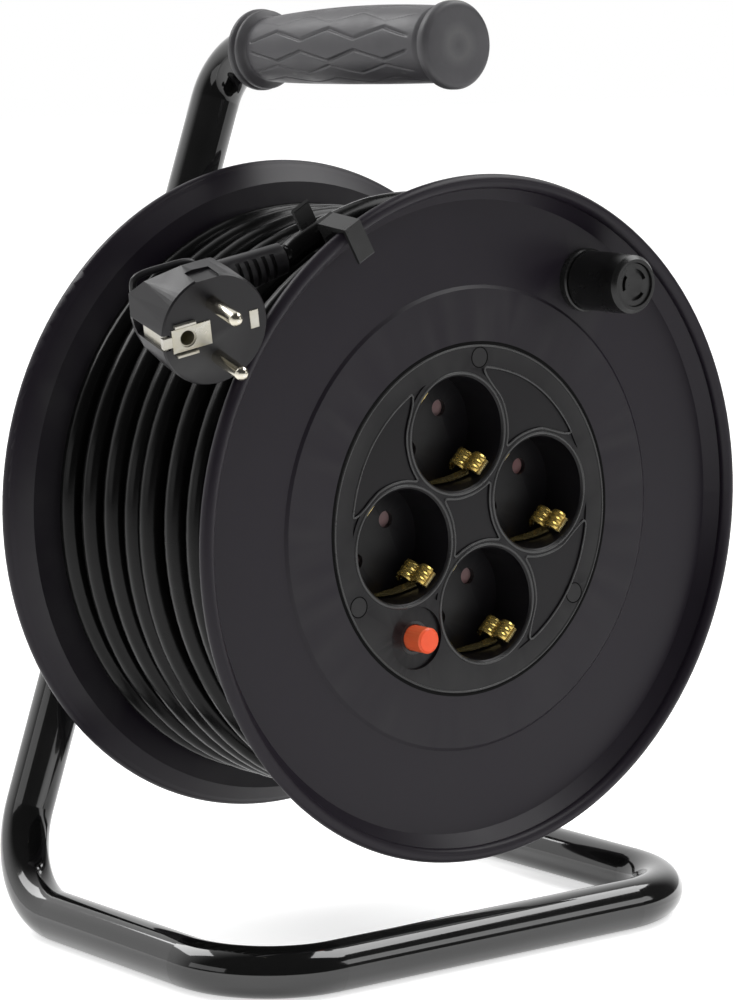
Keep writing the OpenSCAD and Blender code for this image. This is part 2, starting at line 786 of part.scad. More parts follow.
// A rocker that closes both holes of a socket and turns aside when a plug goes in.
module shutter(a) {
  blade = hole_d / 2 + 0.8;
  color([0.55, 0.3, 0.3])
  on_drum() translate(turn_to(a, socket_r)) difference() {
    union() {
      disc(shutter_y, shutter_y + shutter_t, 4);
      for (side = [-1, 1]) translate(hole_at(side)) disc(shutter_y, shutter_y + shutter_t, blade);
      rotate([0, -pin_line, 0]) translate([-pin_gap / 2, shutter_y, -2.5])
        cube([pin_gap, shutter_t, 5]);
    }
    disc(shutter_y - 1, shutter_y + shutter_t + 1, pivot_r + run_fit);
  }
}

module shutter_1() { shutter(socket_turns[0]); }
module shutter_2() { shutter(socket_turns[1]); }
module shutter_3() { shutter(socket_turns[2]); }
module shutter_4() { shutter(socket_turns[3]); }

// ---- thermal breaker ----

module thermal_breaker() {
  color([0.13, 0.13, 0.14])
  on_drum() around(button_turn, button_c) {
    difference() {
      union() {
        translate([-breaker_h / 2, ledge_y + 1.1, -breaker_w / 2])
          cube([breaker_h, breaker_back - ledge_y - 1.1, breaker_w]);
        disc(face_y + well_depth, ledge_y + 2, breaker_neck);
      }
      disc(face_y, face_y + 12, button_r + gap);
    }
    for (z = [-4, 4]) translate([-3, breaker_back - 0.5, z - 0.4]) cube([6, 6, 0.8]);
  }
}

module reset_button() {
  stem_r = 2;
  color([0.93, 0.27, 0.12])
  on_drum() around(button_turn, button_c) turned([
    [0, face_y - button_out], [button_r - 0.7, face_y - button_out],
    [button_r, face_y - button_out + 0.7], [button_r, face_y + 5], [stem_r, face_y + 5],
    [stem_r, face_y + 8.4], [0, face_y + 8.4]
  ]);
}

module button_spring() {
  coils = 5;
  spring_r = 3.2;
  spring_wire = 0.7;
  color([0.65, 0.66, 0.68])
  on_drum() around(button_turn, button_c) for (i = [0 : coils - 1])
    translate([0, face_y + 5.7 + i * 2 * spring_wire, 0]) backwards()
      rotate_extrude() translate([spring_r, 0]) circle(spring_wire / 2, $fn = 16);
}

// ---- cable entry and wires ----

module cable_gland() {
  color([0.15, 0.15, 0.16])
  on_drum() around(inlet_turn, 0) translate([0, inlet_y, 0]) rotate([0, 90, 0]) difference() {
    union() {
      translate([0, 0, core_r - core_t - 6]) cylinder(h = core_t + 5.5, r = gland_r);
      translate([0, 0, core_r - core_t - 12]) cylinder(h = 6.5, r = gland_r + 2, $fn = 6);
    }
    translate([0, 0, core_r - core_t - 13]) cylinder(h = core_t + 14, r = cable_r + fit);
  }
}

module inner_cable() {
  color([0.1, 0.1, 0.1])
  on_drum() around(inlet_turn, 0) {
    translate([inlet_r - inlet_stub, inlet_y, 0]) rotate([0, 90, 0])
      cylinder(h = inlet_stub + core_t - 0.5, r = cable_r);
    translate([inlet_r - inlet_stub, inlet_y - inlet_bend, 0]) rotate([0, 0, 90])
      rotate_extrude(angle = inlet_sweep) translate([inlet_bend, 0]) circle(cable_r);
  }
}

// A wire out of the inner cable's end, over the given points, then straight down to its terminal.
module wire(side, points, terminal) {
  aside = turn_to(inlet_turn + 90, 1);
  start = inner_end + 2.4 * (cos(side) * aside + sin(side) * cross(inner_way, aside)) + inner_way * 0.05;
  swept(concat(
    [start],
    smooth(concat([start + inner_way * 3], points, [terminal + [0, 7, 0]]), 3),
    [terminal]
  ), wire_r, 6);
}

module wire_live() {
  color([0.4, 0.2, 0.1])
  on_drum() wire(30, [[-25, 50, 2], [-28, 50, -22]], live_end);
}

module wire_neutral() {
  color([0.15, 0.3, 0.65])
  on_drum() wire(270, [[-31, 51, 13]], neutral_end);
}

module wire_earth() {
  color([0.5, 0.65, 0.15])
  on_drum() wire(150, [[-10, 51, 14], [4, 51, 14]], earth_end);
}

// ---- crank knob ----

module knob_pin() {
  collar_r = knob_body_r + 0.7;
  color([0.1, 0.1, 0.1])
  on_drum() around(knob_turn, knob_r) difference() {
    turned([
      [0, -knob_out + 0.9], [knob_head_r, -knob_out + 0.9], [knob_head_r, -knob_out + 2.9],
      [knob_pin_r, -knob_out + 2.9], [knob_pin_r, knob_base], [collar_r - 0.5, knob_base],
      [collar_r, knob_base + 0.5], [collar_r, dish], [knob_stub_r, dish],
      [knob_stub_r, dish + flange_t], [0, dish + flange_t]
    ]);
    for (i = [0 : 2]) rotate([0, i * 120 - 25, 0]) translate([0, -knob_out, 0]) backwards()
      rotate_extrude(angle = 62) translate([4.2, 0]) square([1.4, 2.2]);
  }
}

module crank_knob() {
  bottom = knob_base - gap;
  color([0.09, 0.09, 0.09])
  on_drum() around(knob_turn, knob_r) turned([
    [knob_head_r + gap, -knob_out], [knob_body_r - 1.6, -knob_out], [knob_body_r - 0.3, -knob_out + 1.6],
    [knob_body_r, -knob_out + 9], [knob_body_r, bottom - 0.5], [knob_body_r - 0.5, bottom],
    [knob_pin_r + run_fit, bottom], [knob_pin_r + run_fit, -knob_out + 3.2],
    [knob_head_r + gap, -knob_out + 3.2]
  ]);
}

// ---- plug clip on the front flange's edge ----

// Profile in [radius, y]: over the edge, then a cradle that holds the cable.
module plug_clip() {
  t = 1.3;
  clip_w = 7.2;
  tongue = flange_r - 11.4;
  lip = flange_r + 7;
  near = clip_c - cable_r - 0.5;
  far = clip_c + cable_r + 1.2;
  color([0.07, 0.07, 0.07])
  on_drum() around(clip_turn, 0) linear_extrude(clip_w, center = true) {
    polygon([
      [tongue, -rim_r - 1.5], [flange_r + 1.2, -rim_r - 1.5], [flange_r + 3, near - 1],
      [flange_r + 3.4, near], [clip_bed + t, near], [clip_bed + t, far], [lip - 0.6, far], [lip, far - 0.6],
      [lip + 0.6, far + 0.4], [lip - 0.4, far + t], [clip_bed, far + t], [clip_bed, near - t],
      [flange_r - rim_r, near - t], [flange_r + 0.1, rim_r + 0.8], [flange_r + 0.1, -rim_r - 0.1],
      [tongue, -rim_r - 0.1]
    ]);
    translate([tongue, -rim_r - 0.8]) circle(0.7, $fn = 24);
  }
}

// ---- cable ----

// A tube with flat ends along a path. The frames follow the path without twist.
module swept(path, r, sides) {
  n = len(path);
  tangent = [for (i = [0 : n - 1])
    unit(path[min(i + 1, n - 1)] - path[max(i - 1, 0)])];
  first = unit(cross(tangent[0], abs(tangent[0][1]) < 0.9 ? [0, 1, 0] : [1, 0, 0]));
  side = [for (i = 0, s = first; i < n; i = i + 1,
    s = i < n ? unit(s - (s * tangent[i]) * tangent[i]) : s) s];
  points = [for (i = [0 : n - 1]) let(s = unit(side[i] - (side[i] * tangent[i]) * tangent[i]),
      u = cross(tangent[i], s))
    for (k = [0 : sides - 1]) path[i] + r * (cos(360 * k / sides) * s + sin(360 * k / sides) * u)];
  faces = concat(
    [for (k = [1 : sides - 2]) [0, k + 1, k]],
    [for (k = [1 : sides - 2]) [0, k, k + 1] + (n - 1) * sides * [1, 1, 1]],
    [for (i = [0 : n - 2], k = [0 : sides - 1]) let(a = i * sides + k,
      b = i * sides + (k + 1) % sides) each [[a, b, b + sides], [a, b + sides, a + sides]]]
  );
  polyhedron(points, faces);
}

// Points of a smooth curve through the given ones, with some points between each two.
function smooth(p, between) = let(n = len(p)) concat(
  [for (i = [0 : n - 2], k = [0 : between - 1]) let(
    a = p[max(i - 1, 0)], b = p[i], c = p[i + 1], d = p[min(i + 2, n - 1)], t = k / between)
    0.5 * ((2 * b) + (c - a) * t + (2 * a - 5 * b + 4 * c - d) * t ^ 2
      + (3 * b - a - 3 * c + d) * t ^ 3)],
  [p[n - 1]]
);

// Middle of the outer layer's cable at ring i: a helix that sways a little from turn to turn.
function wind_turn(i) = wind_end - (last - i) * 360 / rings;
function wind_y(i) = wind_back + (wind_front - wind_back) * i / last
  + sway * (cos(180 * i / rings) - 1) * min(1, (last - i) / rings);
function wind_at(i) = turn_to(wind_turn(i), wind_r) + [0, wind_y(i), 0];
wind_leave = unit(turn_to(wind_end + 90, 1));
winding = concat(
  [wind_at(0) - unit(wind_at(1) - wind_at(0)) * cable_d],
  [for (i = [0 : last]) wind_at(i)],
  [wind_at(last) + wind_leave * cable_d]
);
winding_gap = min([for (i = [0 : last - rings]) norm(wind_at(i + rings) - wind_at(i))]) - cable_d;
echo(least_gap_in_the_winding = winding_gap);

module cable_winding() { color([0.06, 0.06, 0.06]) on_drum() swept(winding, cable_r, 6); }

// The layers below, and the last of them climbing to the start of the outer layer.
module cable_core() {
  climb = 26;
  start = wind_turn(0) - asin(cable_d / wind_r);
  color([0.05, 0.05, 0.05])
  on_drum() {
    difference() {
      disc(dish + flange_t + core_gap, rear_front - core_gap, cable_core_r);
      disc(0, drum_w, core_r + core_gap);
    }
    rotate([0, -(start - climb), 0]) translate([0, wind_y(0), 0]) backwards() mirror([0, 1, 0])
      rotate_extrude(angle = climb - 0.4) translate([cable_core_r - 2, -cable_r])
        square([cable_r + 3, cable_d]);
  }
}

function plug_way(v) = let(
  a = plug_turns,
  p = [v[0], v[1] * cos(a[0]) - v[2] * sin(a[0]), v[1] * sin(a[0]) + v[2] * cos(a[0])],
  q = [p[0] * cos(a[1]) + p[2] * sin(a[1]), p[1], p[2] * cos(a[1]) - p[0] * sin(a[1])])
  [q[0] * cos(a[2]) - q[1] * sin(a[2]), q[0] * sin(a[2]) + q[1] * cos(a[2]), q[2]];

relief_way = plug_way([cos(relief_rise), sin(relief_rise), 0]);
relief_tip = plug_at + plug_way([relief_start, 0, -plug_cord]) + relief_way * relief_l;
lead_path = concat(
  [wind_at(last) + wind_leave * cable_d, wind_at(last) + wind_leave * cable_d * 1.5],
  smooth(concat([wind_at(last) + wind_leave * cable_d * 2], lead_points,
    [relief_tip + relief_way * 3]), 2),
  [relief_tip]
);

module cable_lead() { color([0.06, 0.06, 0.06]) on_drum() swept(lead_path, cable_r, 12); }

// ---- plug: local +Z the way its pins point, local +X the way its cord leaves ----

module at_plug() { on_drum() translate(plug_at) rotate(plug_turns) children(); }

module plug_strain_relief() {
  slots = 5;
  slot_w = 1.5;
  color([0.08, 0.08, 0.08])
  at_plug() translate([relief_start, 0, -plug_cord]) rotate([0, 90, relief_rise]) difference() {
    cylinder(h = relief_l, r1 = relief_big, r2 = relief_small);
    for (i = [0 : slots - 1], s = [-1, 1])
      translate([s * (cable_r + 9.2), 0, 7 + i * 3.2]) cube([20, 2 * relief_big + 2, slot_w], center = true);
  }
}

// The back of the plug in outline, seen along its pins.
module plug_outline() {
  corner = 4;
  for (p = [[-8, -10], [-8, 0], [9, -8], [9, 3]]) translate(p) circle(corner, $fn = 24);
}

module plug_body() {
  face_r = plug_r - 1.4;
  color([0.09, 0.09, 0.1])
  at_plug() difference() {
    union() {
      hull() {
        translate([0, 0, -1]) cylinder(h = 1, r = face_r, $fn = 64);
        translate([0, 0, -3]) cylinder(h = 1, r = plug_r, $fn = 64);
        translate([0, 0, -19]) cylinder(h = 1, r = plug_r - 0.6, $fn = 64);
        translate([0, 0, -plug_back]) linear_extrude(4) hull() plug_outline();
        translate([relief_start - 9, 0, -plug_cord]) rotate([0, 90, 0])
          cylinder(h = 9, r = relief_big - 0.2, $fn = 32);
      }
      pull_loop();
    }
    translate([relief_start, 0, -plug_cord]) rotate([0, 90, relief_rise])
      cylinder(h = 12, r = relief_big + fit);
    for (s = [0, 180]) rotate([0, 0, s]) translate([plug_r - 2.2, -5, -18]) cube([10, 10, 30]);
    translate([-10, 0, -15]) cylinder(h = 20, r = 3.1);
    for (s = [-1, 1]) translate([0, s * pin_gap / 2, -root_l]) cylinder(h = root_l + 4, r = root_r + fit);
  }
}

// A loop on the plug's back to pull it out by.
module pull_loop() {
  band = 2.2;
  translate([0.5, 3.5, -plug_back + 0.6]) linear_extrude(3) difference() {
    rounded_rect(25, 13.5, 5);
    rounded_rect(25 - 2 * band, 13.5 - 2 * band, 3);
  }
}

module plug_pins() {
  color([0.8, 0.8, 0.78])
  at_plug() for (s = [-1, 1]) translate([0, s * pin_gap / 2, 0]) {
    translate([0, 0, -root_l]) cylinder(h = root_l, r = root_r);
    cylinder(h = prong_l - prong_r, r = prong_r);
    translate([0, 0, prong_l - prong_r]) sphere(prong_r);
  }
}

module plug_earth_contacts() {
  color([0.82, 0.8, 0.72])
  at_plug() {
    for (s = [0, 180]) rotate([0, 0, s]) translate([plug_r - 2.2, -4, -17]) cube([0.8, 8, 16.4]);
    translate([-10, 0, -14]) difference() {
      cylinder(h = 14, r = 3.1 - fit);
      translate([0, 0, 1]) cylinder(h = 14, r = 2.5);
    }
  }
}

frame_tube();
tube_end_plug();
handle_grip();
bearing_plate();
plate_bolts();
plate_nuts();
axle_shaft();
thrust_washer();
retaining_clip();
rear_flange();
hub_bush();
drum_core();
front_flange();
drum_screws();
socket_panel();
panel_screws();
screw_caps();
contact_carrier();
panel_back_cover();
cover_screw();
earth_clips_1();
earth_clips_2();
earth_clips_3();
earth_clips_4();
live_busbar();
neutral_busbar();
earth_busbar();
shutter_1();
shutter_2();
shutter_3();
shutter_4();
thermal_breaker();
reset_button();
button_spring();
cable_gland();
inner_cable();
wire_live();
wire_neutral();
wire_earth();
knob_pin();
crank_knob();
plug_clip();
cable_core();
cable_winding();
cable_lead();
plug_strain_relief();
plug_body();
plug_pins();
plug_earth_contacts();
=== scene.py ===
# %% [markdown]
# # A cable reel, dressed for the shelf
# The reel's construction comes in finished: every plate, screw and contact is a named node at its
# real size. This lesson gives it its looks: the long cable on its drum, the rubber grip, the plug,
# and a surface for every material that the reel is made of. Lengths below are in millimetres, as on
# a workshop drawing, and `MM` turns them into Blender's metres. Lamps and camera are in metres.
# %% Load the construction
import json
import math

import bmesh
import bpy
import numpy as np
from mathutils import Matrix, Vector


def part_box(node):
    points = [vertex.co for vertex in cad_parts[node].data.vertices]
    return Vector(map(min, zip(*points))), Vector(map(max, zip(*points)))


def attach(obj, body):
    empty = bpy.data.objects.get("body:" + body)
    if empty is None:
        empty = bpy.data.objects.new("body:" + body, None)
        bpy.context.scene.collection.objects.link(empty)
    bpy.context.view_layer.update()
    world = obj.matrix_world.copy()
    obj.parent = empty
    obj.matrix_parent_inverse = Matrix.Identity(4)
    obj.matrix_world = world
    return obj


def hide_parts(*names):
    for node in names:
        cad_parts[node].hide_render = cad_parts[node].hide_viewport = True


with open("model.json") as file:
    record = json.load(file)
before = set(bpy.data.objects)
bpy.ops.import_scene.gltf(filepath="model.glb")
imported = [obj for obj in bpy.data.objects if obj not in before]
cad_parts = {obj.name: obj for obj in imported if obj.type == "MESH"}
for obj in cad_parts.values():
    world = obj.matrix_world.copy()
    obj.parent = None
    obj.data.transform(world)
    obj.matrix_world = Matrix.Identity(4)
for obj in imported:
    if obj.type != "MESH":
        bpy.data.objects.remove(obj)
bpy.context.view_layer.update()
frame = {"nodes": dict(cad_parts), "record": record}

nodes = frame["nodes"]

# %% [markdown]
# ## Where things are
# The drum turns about an axle along Y. Two numbers place everything on it: the plane of the front
# flange's edge and the height of the axle. Both are read from the front flange, so that the dressing
# follows the construction.
# %% The drum's own place
MM = 0.001
RIM = 5                                   # rolled edge of a flange, its thickness
low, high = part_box("front_flange")
EDGE_Y = low.y / MM + RIM / 2
AXLE_Z = (low.z + high.z) / 2 / MM


def on_drum(points):
    """Drum coordinates (across, behind the front edge, above the axle) in mm to metres in the part."""
    return (np.asarray(points, float) + [0, EDGE_Y, AXLE_Z]) * MM


def polar(turn, radius, behind):
    """Point at a direction in degrees (0 is +X, 90 is up), a radius and a distance behind the edge."""
    a = np.radians(turn)
    return np.stack(np.broadcast_arrays(radius * np.cos(a), behind, radius * np.sin(a)), -1)


print(f"front edge plane y = {EDGE_Y:.1f} mm, axle {AXLE_Z:.1f} mm above the floor")

# %% [markdown]
# ## The camera
# A long lens from the left of the front, a little above the axle, shows the sockets, the winding
# and the stand together, without much perspective.
# %% Camera
camera = bpy.data.objects.new("camera", bpy.data.cameras.new("camera"))
bpy.context.scene.collection.objects.link(camera)
camera.location = (-0.8324, -1.05209, 0.34754)
camera.rotation_euler = (math.radians(90 - 8.16), 0, math.radians(-38.5))
camera.data.lens = 135.24
camera.data.sensor_width = 36
bpy.context.scene.camera = camera
print("camera with a", camera.data.lens, "mm lens")

# %% [markdown]
# ## Surfaces from grids
# Most new pieces are one surface: a grid of points, rows by columns, that may close on itself. One
# helper turns such a grid into a mesh, with a UV map whose V runs along the rows in metres, so that
# a pattern can follow the piece.
# %% Grid helper


def add_mesh(name, points, faces, uv=None, smooth=True):
    """A mesh object from points in metres and faces, with the faces pointing outwards."""
    mesh = bpy.data.meshes.new(name)
    mesh.from_pydata(np.asarray(points).tolist(), [], faces)
    if uv is not None:
        layer = mesh.uv_layers.new(name="along")
        loops = np.zeros(len(mesh.loops), np.int32)
        mesh.loops.foreach_get("vertex_index", loops)
        layer.data.foreach_set("uv", np.asarray(uv, np.float32)[loops].ravel())
    mesh.shade_smooth() if smooth else mesh.shade_flat()
    mesh.update()
    piece = bpy.data.objects.new(name, mesh)
    bpy.context.scene.collection.objects.link(piece)
    return piece


def grid_faces(rows, columns, closed=True):
    """Quads of a grid of rows by columns; closed joins the last column to the first."""
    r, c = np.meshgrid(np.arange(rows - 1), np.arange(columns if closed else columns - 1),
                       indexing="ij")
    a = r * columns + c
    b = r * columns + (c + 1) % columns
    return np.stack([a, b, b + columns, a + columns], -1).reshape(-1, 4)


def tube(name, path, radius, sides=14):
    """A round tube along a path: each ring is path + radius (cos k side + sin k other), where side is
    carried from ring to ring without twist. Both ends are closed."""
    path = np.asarray(path, float)
    tangent = np.gradient(path, axis=0)
    tangent /= np.linalg.norm(tangent, axis=1)[:, None]
    side = np.zeros_like(path)
    s = np.cross(tangent[0], (0, 1, 0) if abs(tangent[0][1]) < 0.9 else (1, 0, 0))
    for i, t in enumerate(tangent):
        s = s - (s @ t) * t
        s = s / np.linalg.norm(s)
        side[i] = s
    other = np.cross(tangent, side)
    k = np.arange(sides) * 2 * np.pi / sides
    ring = np.cos(k)[None, :, None] * side[:, None] + np.sin(k)[None, :, None] * other[:, None]
    points = (path[:, None] + np.reshape(radius, (-1, 1, 1)) * ring).reshape(-1, 3)
    faces = [tuple(f) for f in grid_faces(len(path), sides).tolist()]
    faces.append(tuple(range(sides))[::-1])
    faces.append(tuple(range((len(path) - 1) * sides, len(path) * sides)))
    length = np.concatenate([[0], np.cumsum(np.linalg.norm(np.diff(path, axis=0), axis=1))])
    uv = np.stack([np.tile(np.arange(sides) / sides, len(path)), np.repeat(length, sides)], -1)
    return add_mesh(name, points, faces, uv)


def smooth_path(points, between):
    """Catmull-Rom curve through the points, with so many steps from each to the next."""
    p = np.asarray(points, float)
    a, b, c, d = np.vstack([p[:1], p[:-2]]), p[:-1], p[1:], np.vstack([p[2:], p[-1:]])
    a, b, c, d = (q[:, None] for q in (a, b, c, d))
    t = (np.arange(between) / between)[None, :, None]
    curve = 0.5 * (2 * b + (c - a) * t + (2 * a - 5 * b + 4 * c - d) * t ** 2
                   + (3 * b - a - 3 * c + d) * t ** 3)
    return np.vstack([curve.reshape(-1, p.shape[1]), p[-1:]])


# %% [markdown]
# ## The cable
# 25 m of rubber-sheathed cable goes on the drum in five layers. It starts at the gland in the drum's
# core, winds to the front, and then to and fro, each layer one cable thickness further out. The
# outer layer shows, so its turns lie as a hand lays them: they fan out on one side of the drum, draw
# together on the other, and leave dark gaps through which the layer below shows. The whole cable is
# one tube along one path, worked out from directions, radii and widths.
# %% Cable on the drum
CABLE = 8.6
FRONT, BACK = 12.8, 105.0                 # middles of the first and last turn
OUTER_R = 100.8
LAYERS = 5
INLET_TURN, INLET_Y, CORE_R = 147, 70, 62
LEAVE_TURN = 60                           # where the free end leaves the drum
OUTER_SPAN = 2900                         # degrees of the outer layer
CLIMB = 26                                # degrees in which a layer climbs onto the next
INNER_SPAN = 38 * 360 + (LEAVE_TURN - OUTER_SPAN - INLET_TURN) % 360
# The outer layer's distance behind the edge at each half turn: on the left, then on the right.
# Neighbours a whole turn apart keep at least one thickness between their middles.
ON_LEFT = [103.5, 89.5, 76.0, 63.8, 55.0, 40.0, 27.6, 18.4]
ON_RIGHT = [97.0, 86.5, 68.5, 59.0, 49.8, 32.0, 23.2, 14.0]


def winding_path(inner_step=7.5, outer_step=4.0, ease=40):
    """Middle of the cable from gland to free end, in drum coordinates. Direction, radius and distance
    behind the edge are all functions of the angle wound so far: radius rises by one thickness at each
    climb, and the distance runs to and fro between the flanges. A mean over some degrees eases the
    distance, which keeps the least space between turns."""
    climbs = (LAYERS - 1) * CLIMB
    inner_way = (INLET_Y - FRONT) + (LAYERS - 2) * (BACK - FRONT)
    pitch = inner_way / (INNER_SPAN - climbs) * 360
    angles, radii, ys = [0.0], [OUTER_R - (LAYERS - 1) * CABLE], [INLET_Y]
    for k in range(LAYERS - 1):
        goal = FRONT if k % 2 == 0 else BACK
        angles.append(angles[-1] + abs(goal - ys[-1]) / pitch * 360)
        radii.append(radii[-1])
        ys.append(goal)
        angles.append(angles[-1] + CLIMB)
        radii.append(radii[-1] + CABLE)
        ys.append(goal)
    first_left = 180 - (LEAVE_TURN - OUTER_SPAN) % 360
    for k, (left, right) in enumerate(zip(ON_LEFT, ON_RIGHT)):
        angles += [INNER_SPAN + first_left + 360 * k, INNER_SPAN + first_left + 360 * k + 180]
        radii += [OUTER_R, OUTER_R]
        ys += [left, right]
    angles.append(INNER_SPAN + OUTER_SPAN)
    radii.append(OUTER_R)
    ys.append(FRONT)
    wound = np.concatenate([np.arange(0, INNER_SPAN, inner_step),
                            np.arange(INNER_SPAN, INNER_SPAN + OUTER_SPAN, outer_step),
                            [INNER_SPAN + OUTER_SPAN]])
    behind = np.mean([np.interp(wound + d, angles, ys) for d in np.linspace(-ease, ease, 9)], axis=0)
    print(f"inner pitch {pitch:.2f} mm, {OUTER_SPAN / 360:.1f} turns in the outer layer")
    return polar(INLET_TURN + wound, np.interp(wound, angles, radii), behind)


wound = winding_path()
leave = polar(LEAVE_TURN + 90, 1, 0)
free_end = [
    (18, 13.4, 102.9), (0, 13.8, 107.8), (-19, 14.2, 110), (-35, 14.6, 109), (-46.8, 14.8, 106.2),
    (-58, 15, 102.1), (-66, 17, 97.3)
]

# %% [markdown]
# The plug stands at an angle beside the winding. Its own coordinates have +Z along the pins and +X
# towards the cable, and three turns about X, Y and Z bring it into place. The strain relief's tip is
# where the cable ends.
# %% The plug's place
PLUG_AT = np.array([-118, -6.1, 74.1])
PLUG_TURNS = np.radians([104, -12.7, -12])
# Where the strain relief starts beside the pins' axis, its length and rise, and the cord's depth
# behind the plug's face.
RELIEF_START, RELIEF_LONG, RELIEF_RISE, PLUG_CORD = 18, 25, math.radians(4), 35


def plug_matrix():
    """Turns about X, then Y, then Z, as one 3 by 3 matrix."""
    x, y, z = PLUG_TURNS
    about_x = np.array([[1, 0, 0], [0, math.cos(x), -math.sin(x)], [0, math.sin(x), math.cos(x)]])
    about_y = np.array([[math.cos(y), 0, math.sin(y)], [0, 1, 0], [-math.sin(y), 0, math.cos(y)]])
    about_z = np.array([[math.cos(z), -math.sin(z), 0], [math.sin(z), math.cos(z), 0], [0, 0, 1]])
    return about_z @ about_y @ about_x


PLUG = plug_matrix()


def on_plug(points):
    """Plug coordinates in mm to drum coordinates in mm."""
    return np.asarray(points, float) @ PLUG.T + PLUG_AT


relief_way = PLUG @ [math.cos(RELIEF_RISE), math.sin(RELIEF_RISE), 0]
relief_tip = on_plug([RELIEF_START, 0, -PLUG_CORD]) + relief_way * RELIEF_LONG
route = smooth_path(np.vstack([wound[-1] + leave * CABLE * 2, free_end,
                               relief_tip + relief_way * 3]), between=5)
cable_path = np.vstack([wound, wound[-1] + leave * CABLE, wound[-1] + leave * CABLE * 1.5, route,
                        relief_tip])
cable = tube("cable", on_drum(cable_path), CABLE / 2 * MM)
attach(cable, "drum")
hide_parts("cable_core", "cable_winding", "cable_lead")
laid = np.linalg.norm(np.diff(cable_path, axis=0), axis=1).sum() * MM
print(f"cable: {laid:.2f} m in {len(cable_path)} rings")

# %% [markdown]
# ## Floor, lamps and sky
# A product on a white sweep: the floor and the sky are white to the camera, but they light the reel
# at a plain level, so that a colour renders about as it is written. A glossy black frame shows the
# room that it stands in, so the room has a bright side and a dark one: the sweep behind the reel is
# white in reflections, and the side that the camera stands on is dim. Two large softboxes, high
# behind on the left and high on the right, draw the long streaks along the tubes, and two small ones
# low on the left and at the front right give the edges a faint line.
# %% Stage and light


def material(name):
    """A new node material, with its node tree emptied down to the output."""
    m = bpy.data.materials.new(name)
    m.use_nodes = True
    tree = m.node_tree
    for node in list(tree.nodes):
        if node.type != "OUTPUT_MATERIAL":
            tree.nodes.remove(node)
    return m, tree, tree.nodes["Material Output"]


def seen_by_eye(tree):
    """Light Path's mask of rays that a viewer follows: from the camera, a gloss or a clear body."""
    path = tree.nodes.new("ShaderNodeLightPath")
    either = tree.nodes.new("ShaderNodeMath")
    either.operation = "MAXIMUM"
    tree.links.new(path.outputs["Is Camera Ray"], either.inputs[0])
    tree.links.new(path.outputs["Is Transmission Ray"], either.inputs[1])
    return path, either.outputs[0]


def make_sky(light, shown, gloss):
    """A world that lights at one level and shows white to the camera. Gloss sees the room: its level
    runs from the first to the second of gloss as the direction turns from the front to the back."""
    world = bpy.data.worlds.new("sky")
    world.use_nodes = True
    bpy.context.scene.world = world
    tree = world.node_tree
    background = tree.nodes["Background"]
    background.inputs["Color"].default_value = (1, 1, 1, 1)
    path, eye = seen_by_eye(tree)
    place = tree.nodes.new("ShaderNodeTexCoord")
    towards = tree.nodes.new("ShaderNodeVectorMath")
    towards.operation = "DOT_PRODUCT"
    towards.inputs[1].default_value = (0.12, 0.98, 0.1)
    room = tree.nodes.new("ShaderNodeMapRange")
    room.interpolation_type = "SMOOTHSTEP"
    room.inputs["From Min"].default_value, room.inputs["From Max"].default_value = 0.1, 0.75
    room.inputs["To Min"].default_value, room.inputs["To Max"].default_value = gloss
    to_gloss = tree.nodes.new("ShaderNodeMix")
    to_eye = tree.nodes.new("ShaderNodeMix")
    to_gloss.inputs["A"].default_value = light
    to_eye.inputs["B"].default_value = shown
    tree.links.new(place.outputs["Generated"], towards.inputs[0])
    tree.links.new(towards.outputs["Value"], room.inputs["Value"])
    tree.links.new(room.outputs["Result"], to_gloss.inputs["B"])
    tree.links.new(path.outputs["Is Glossy Ray"], to_gloss.inputs["Factor"])
    tree.links.new(to_gloss.outputs["Result"], to_eye.inputs["A"])
    tree.links.new(eye, to_eye.inputs["Factor"])
    tree.links.new(to_eye.outputs["Result"], background.inputs["Strength"])
    return world


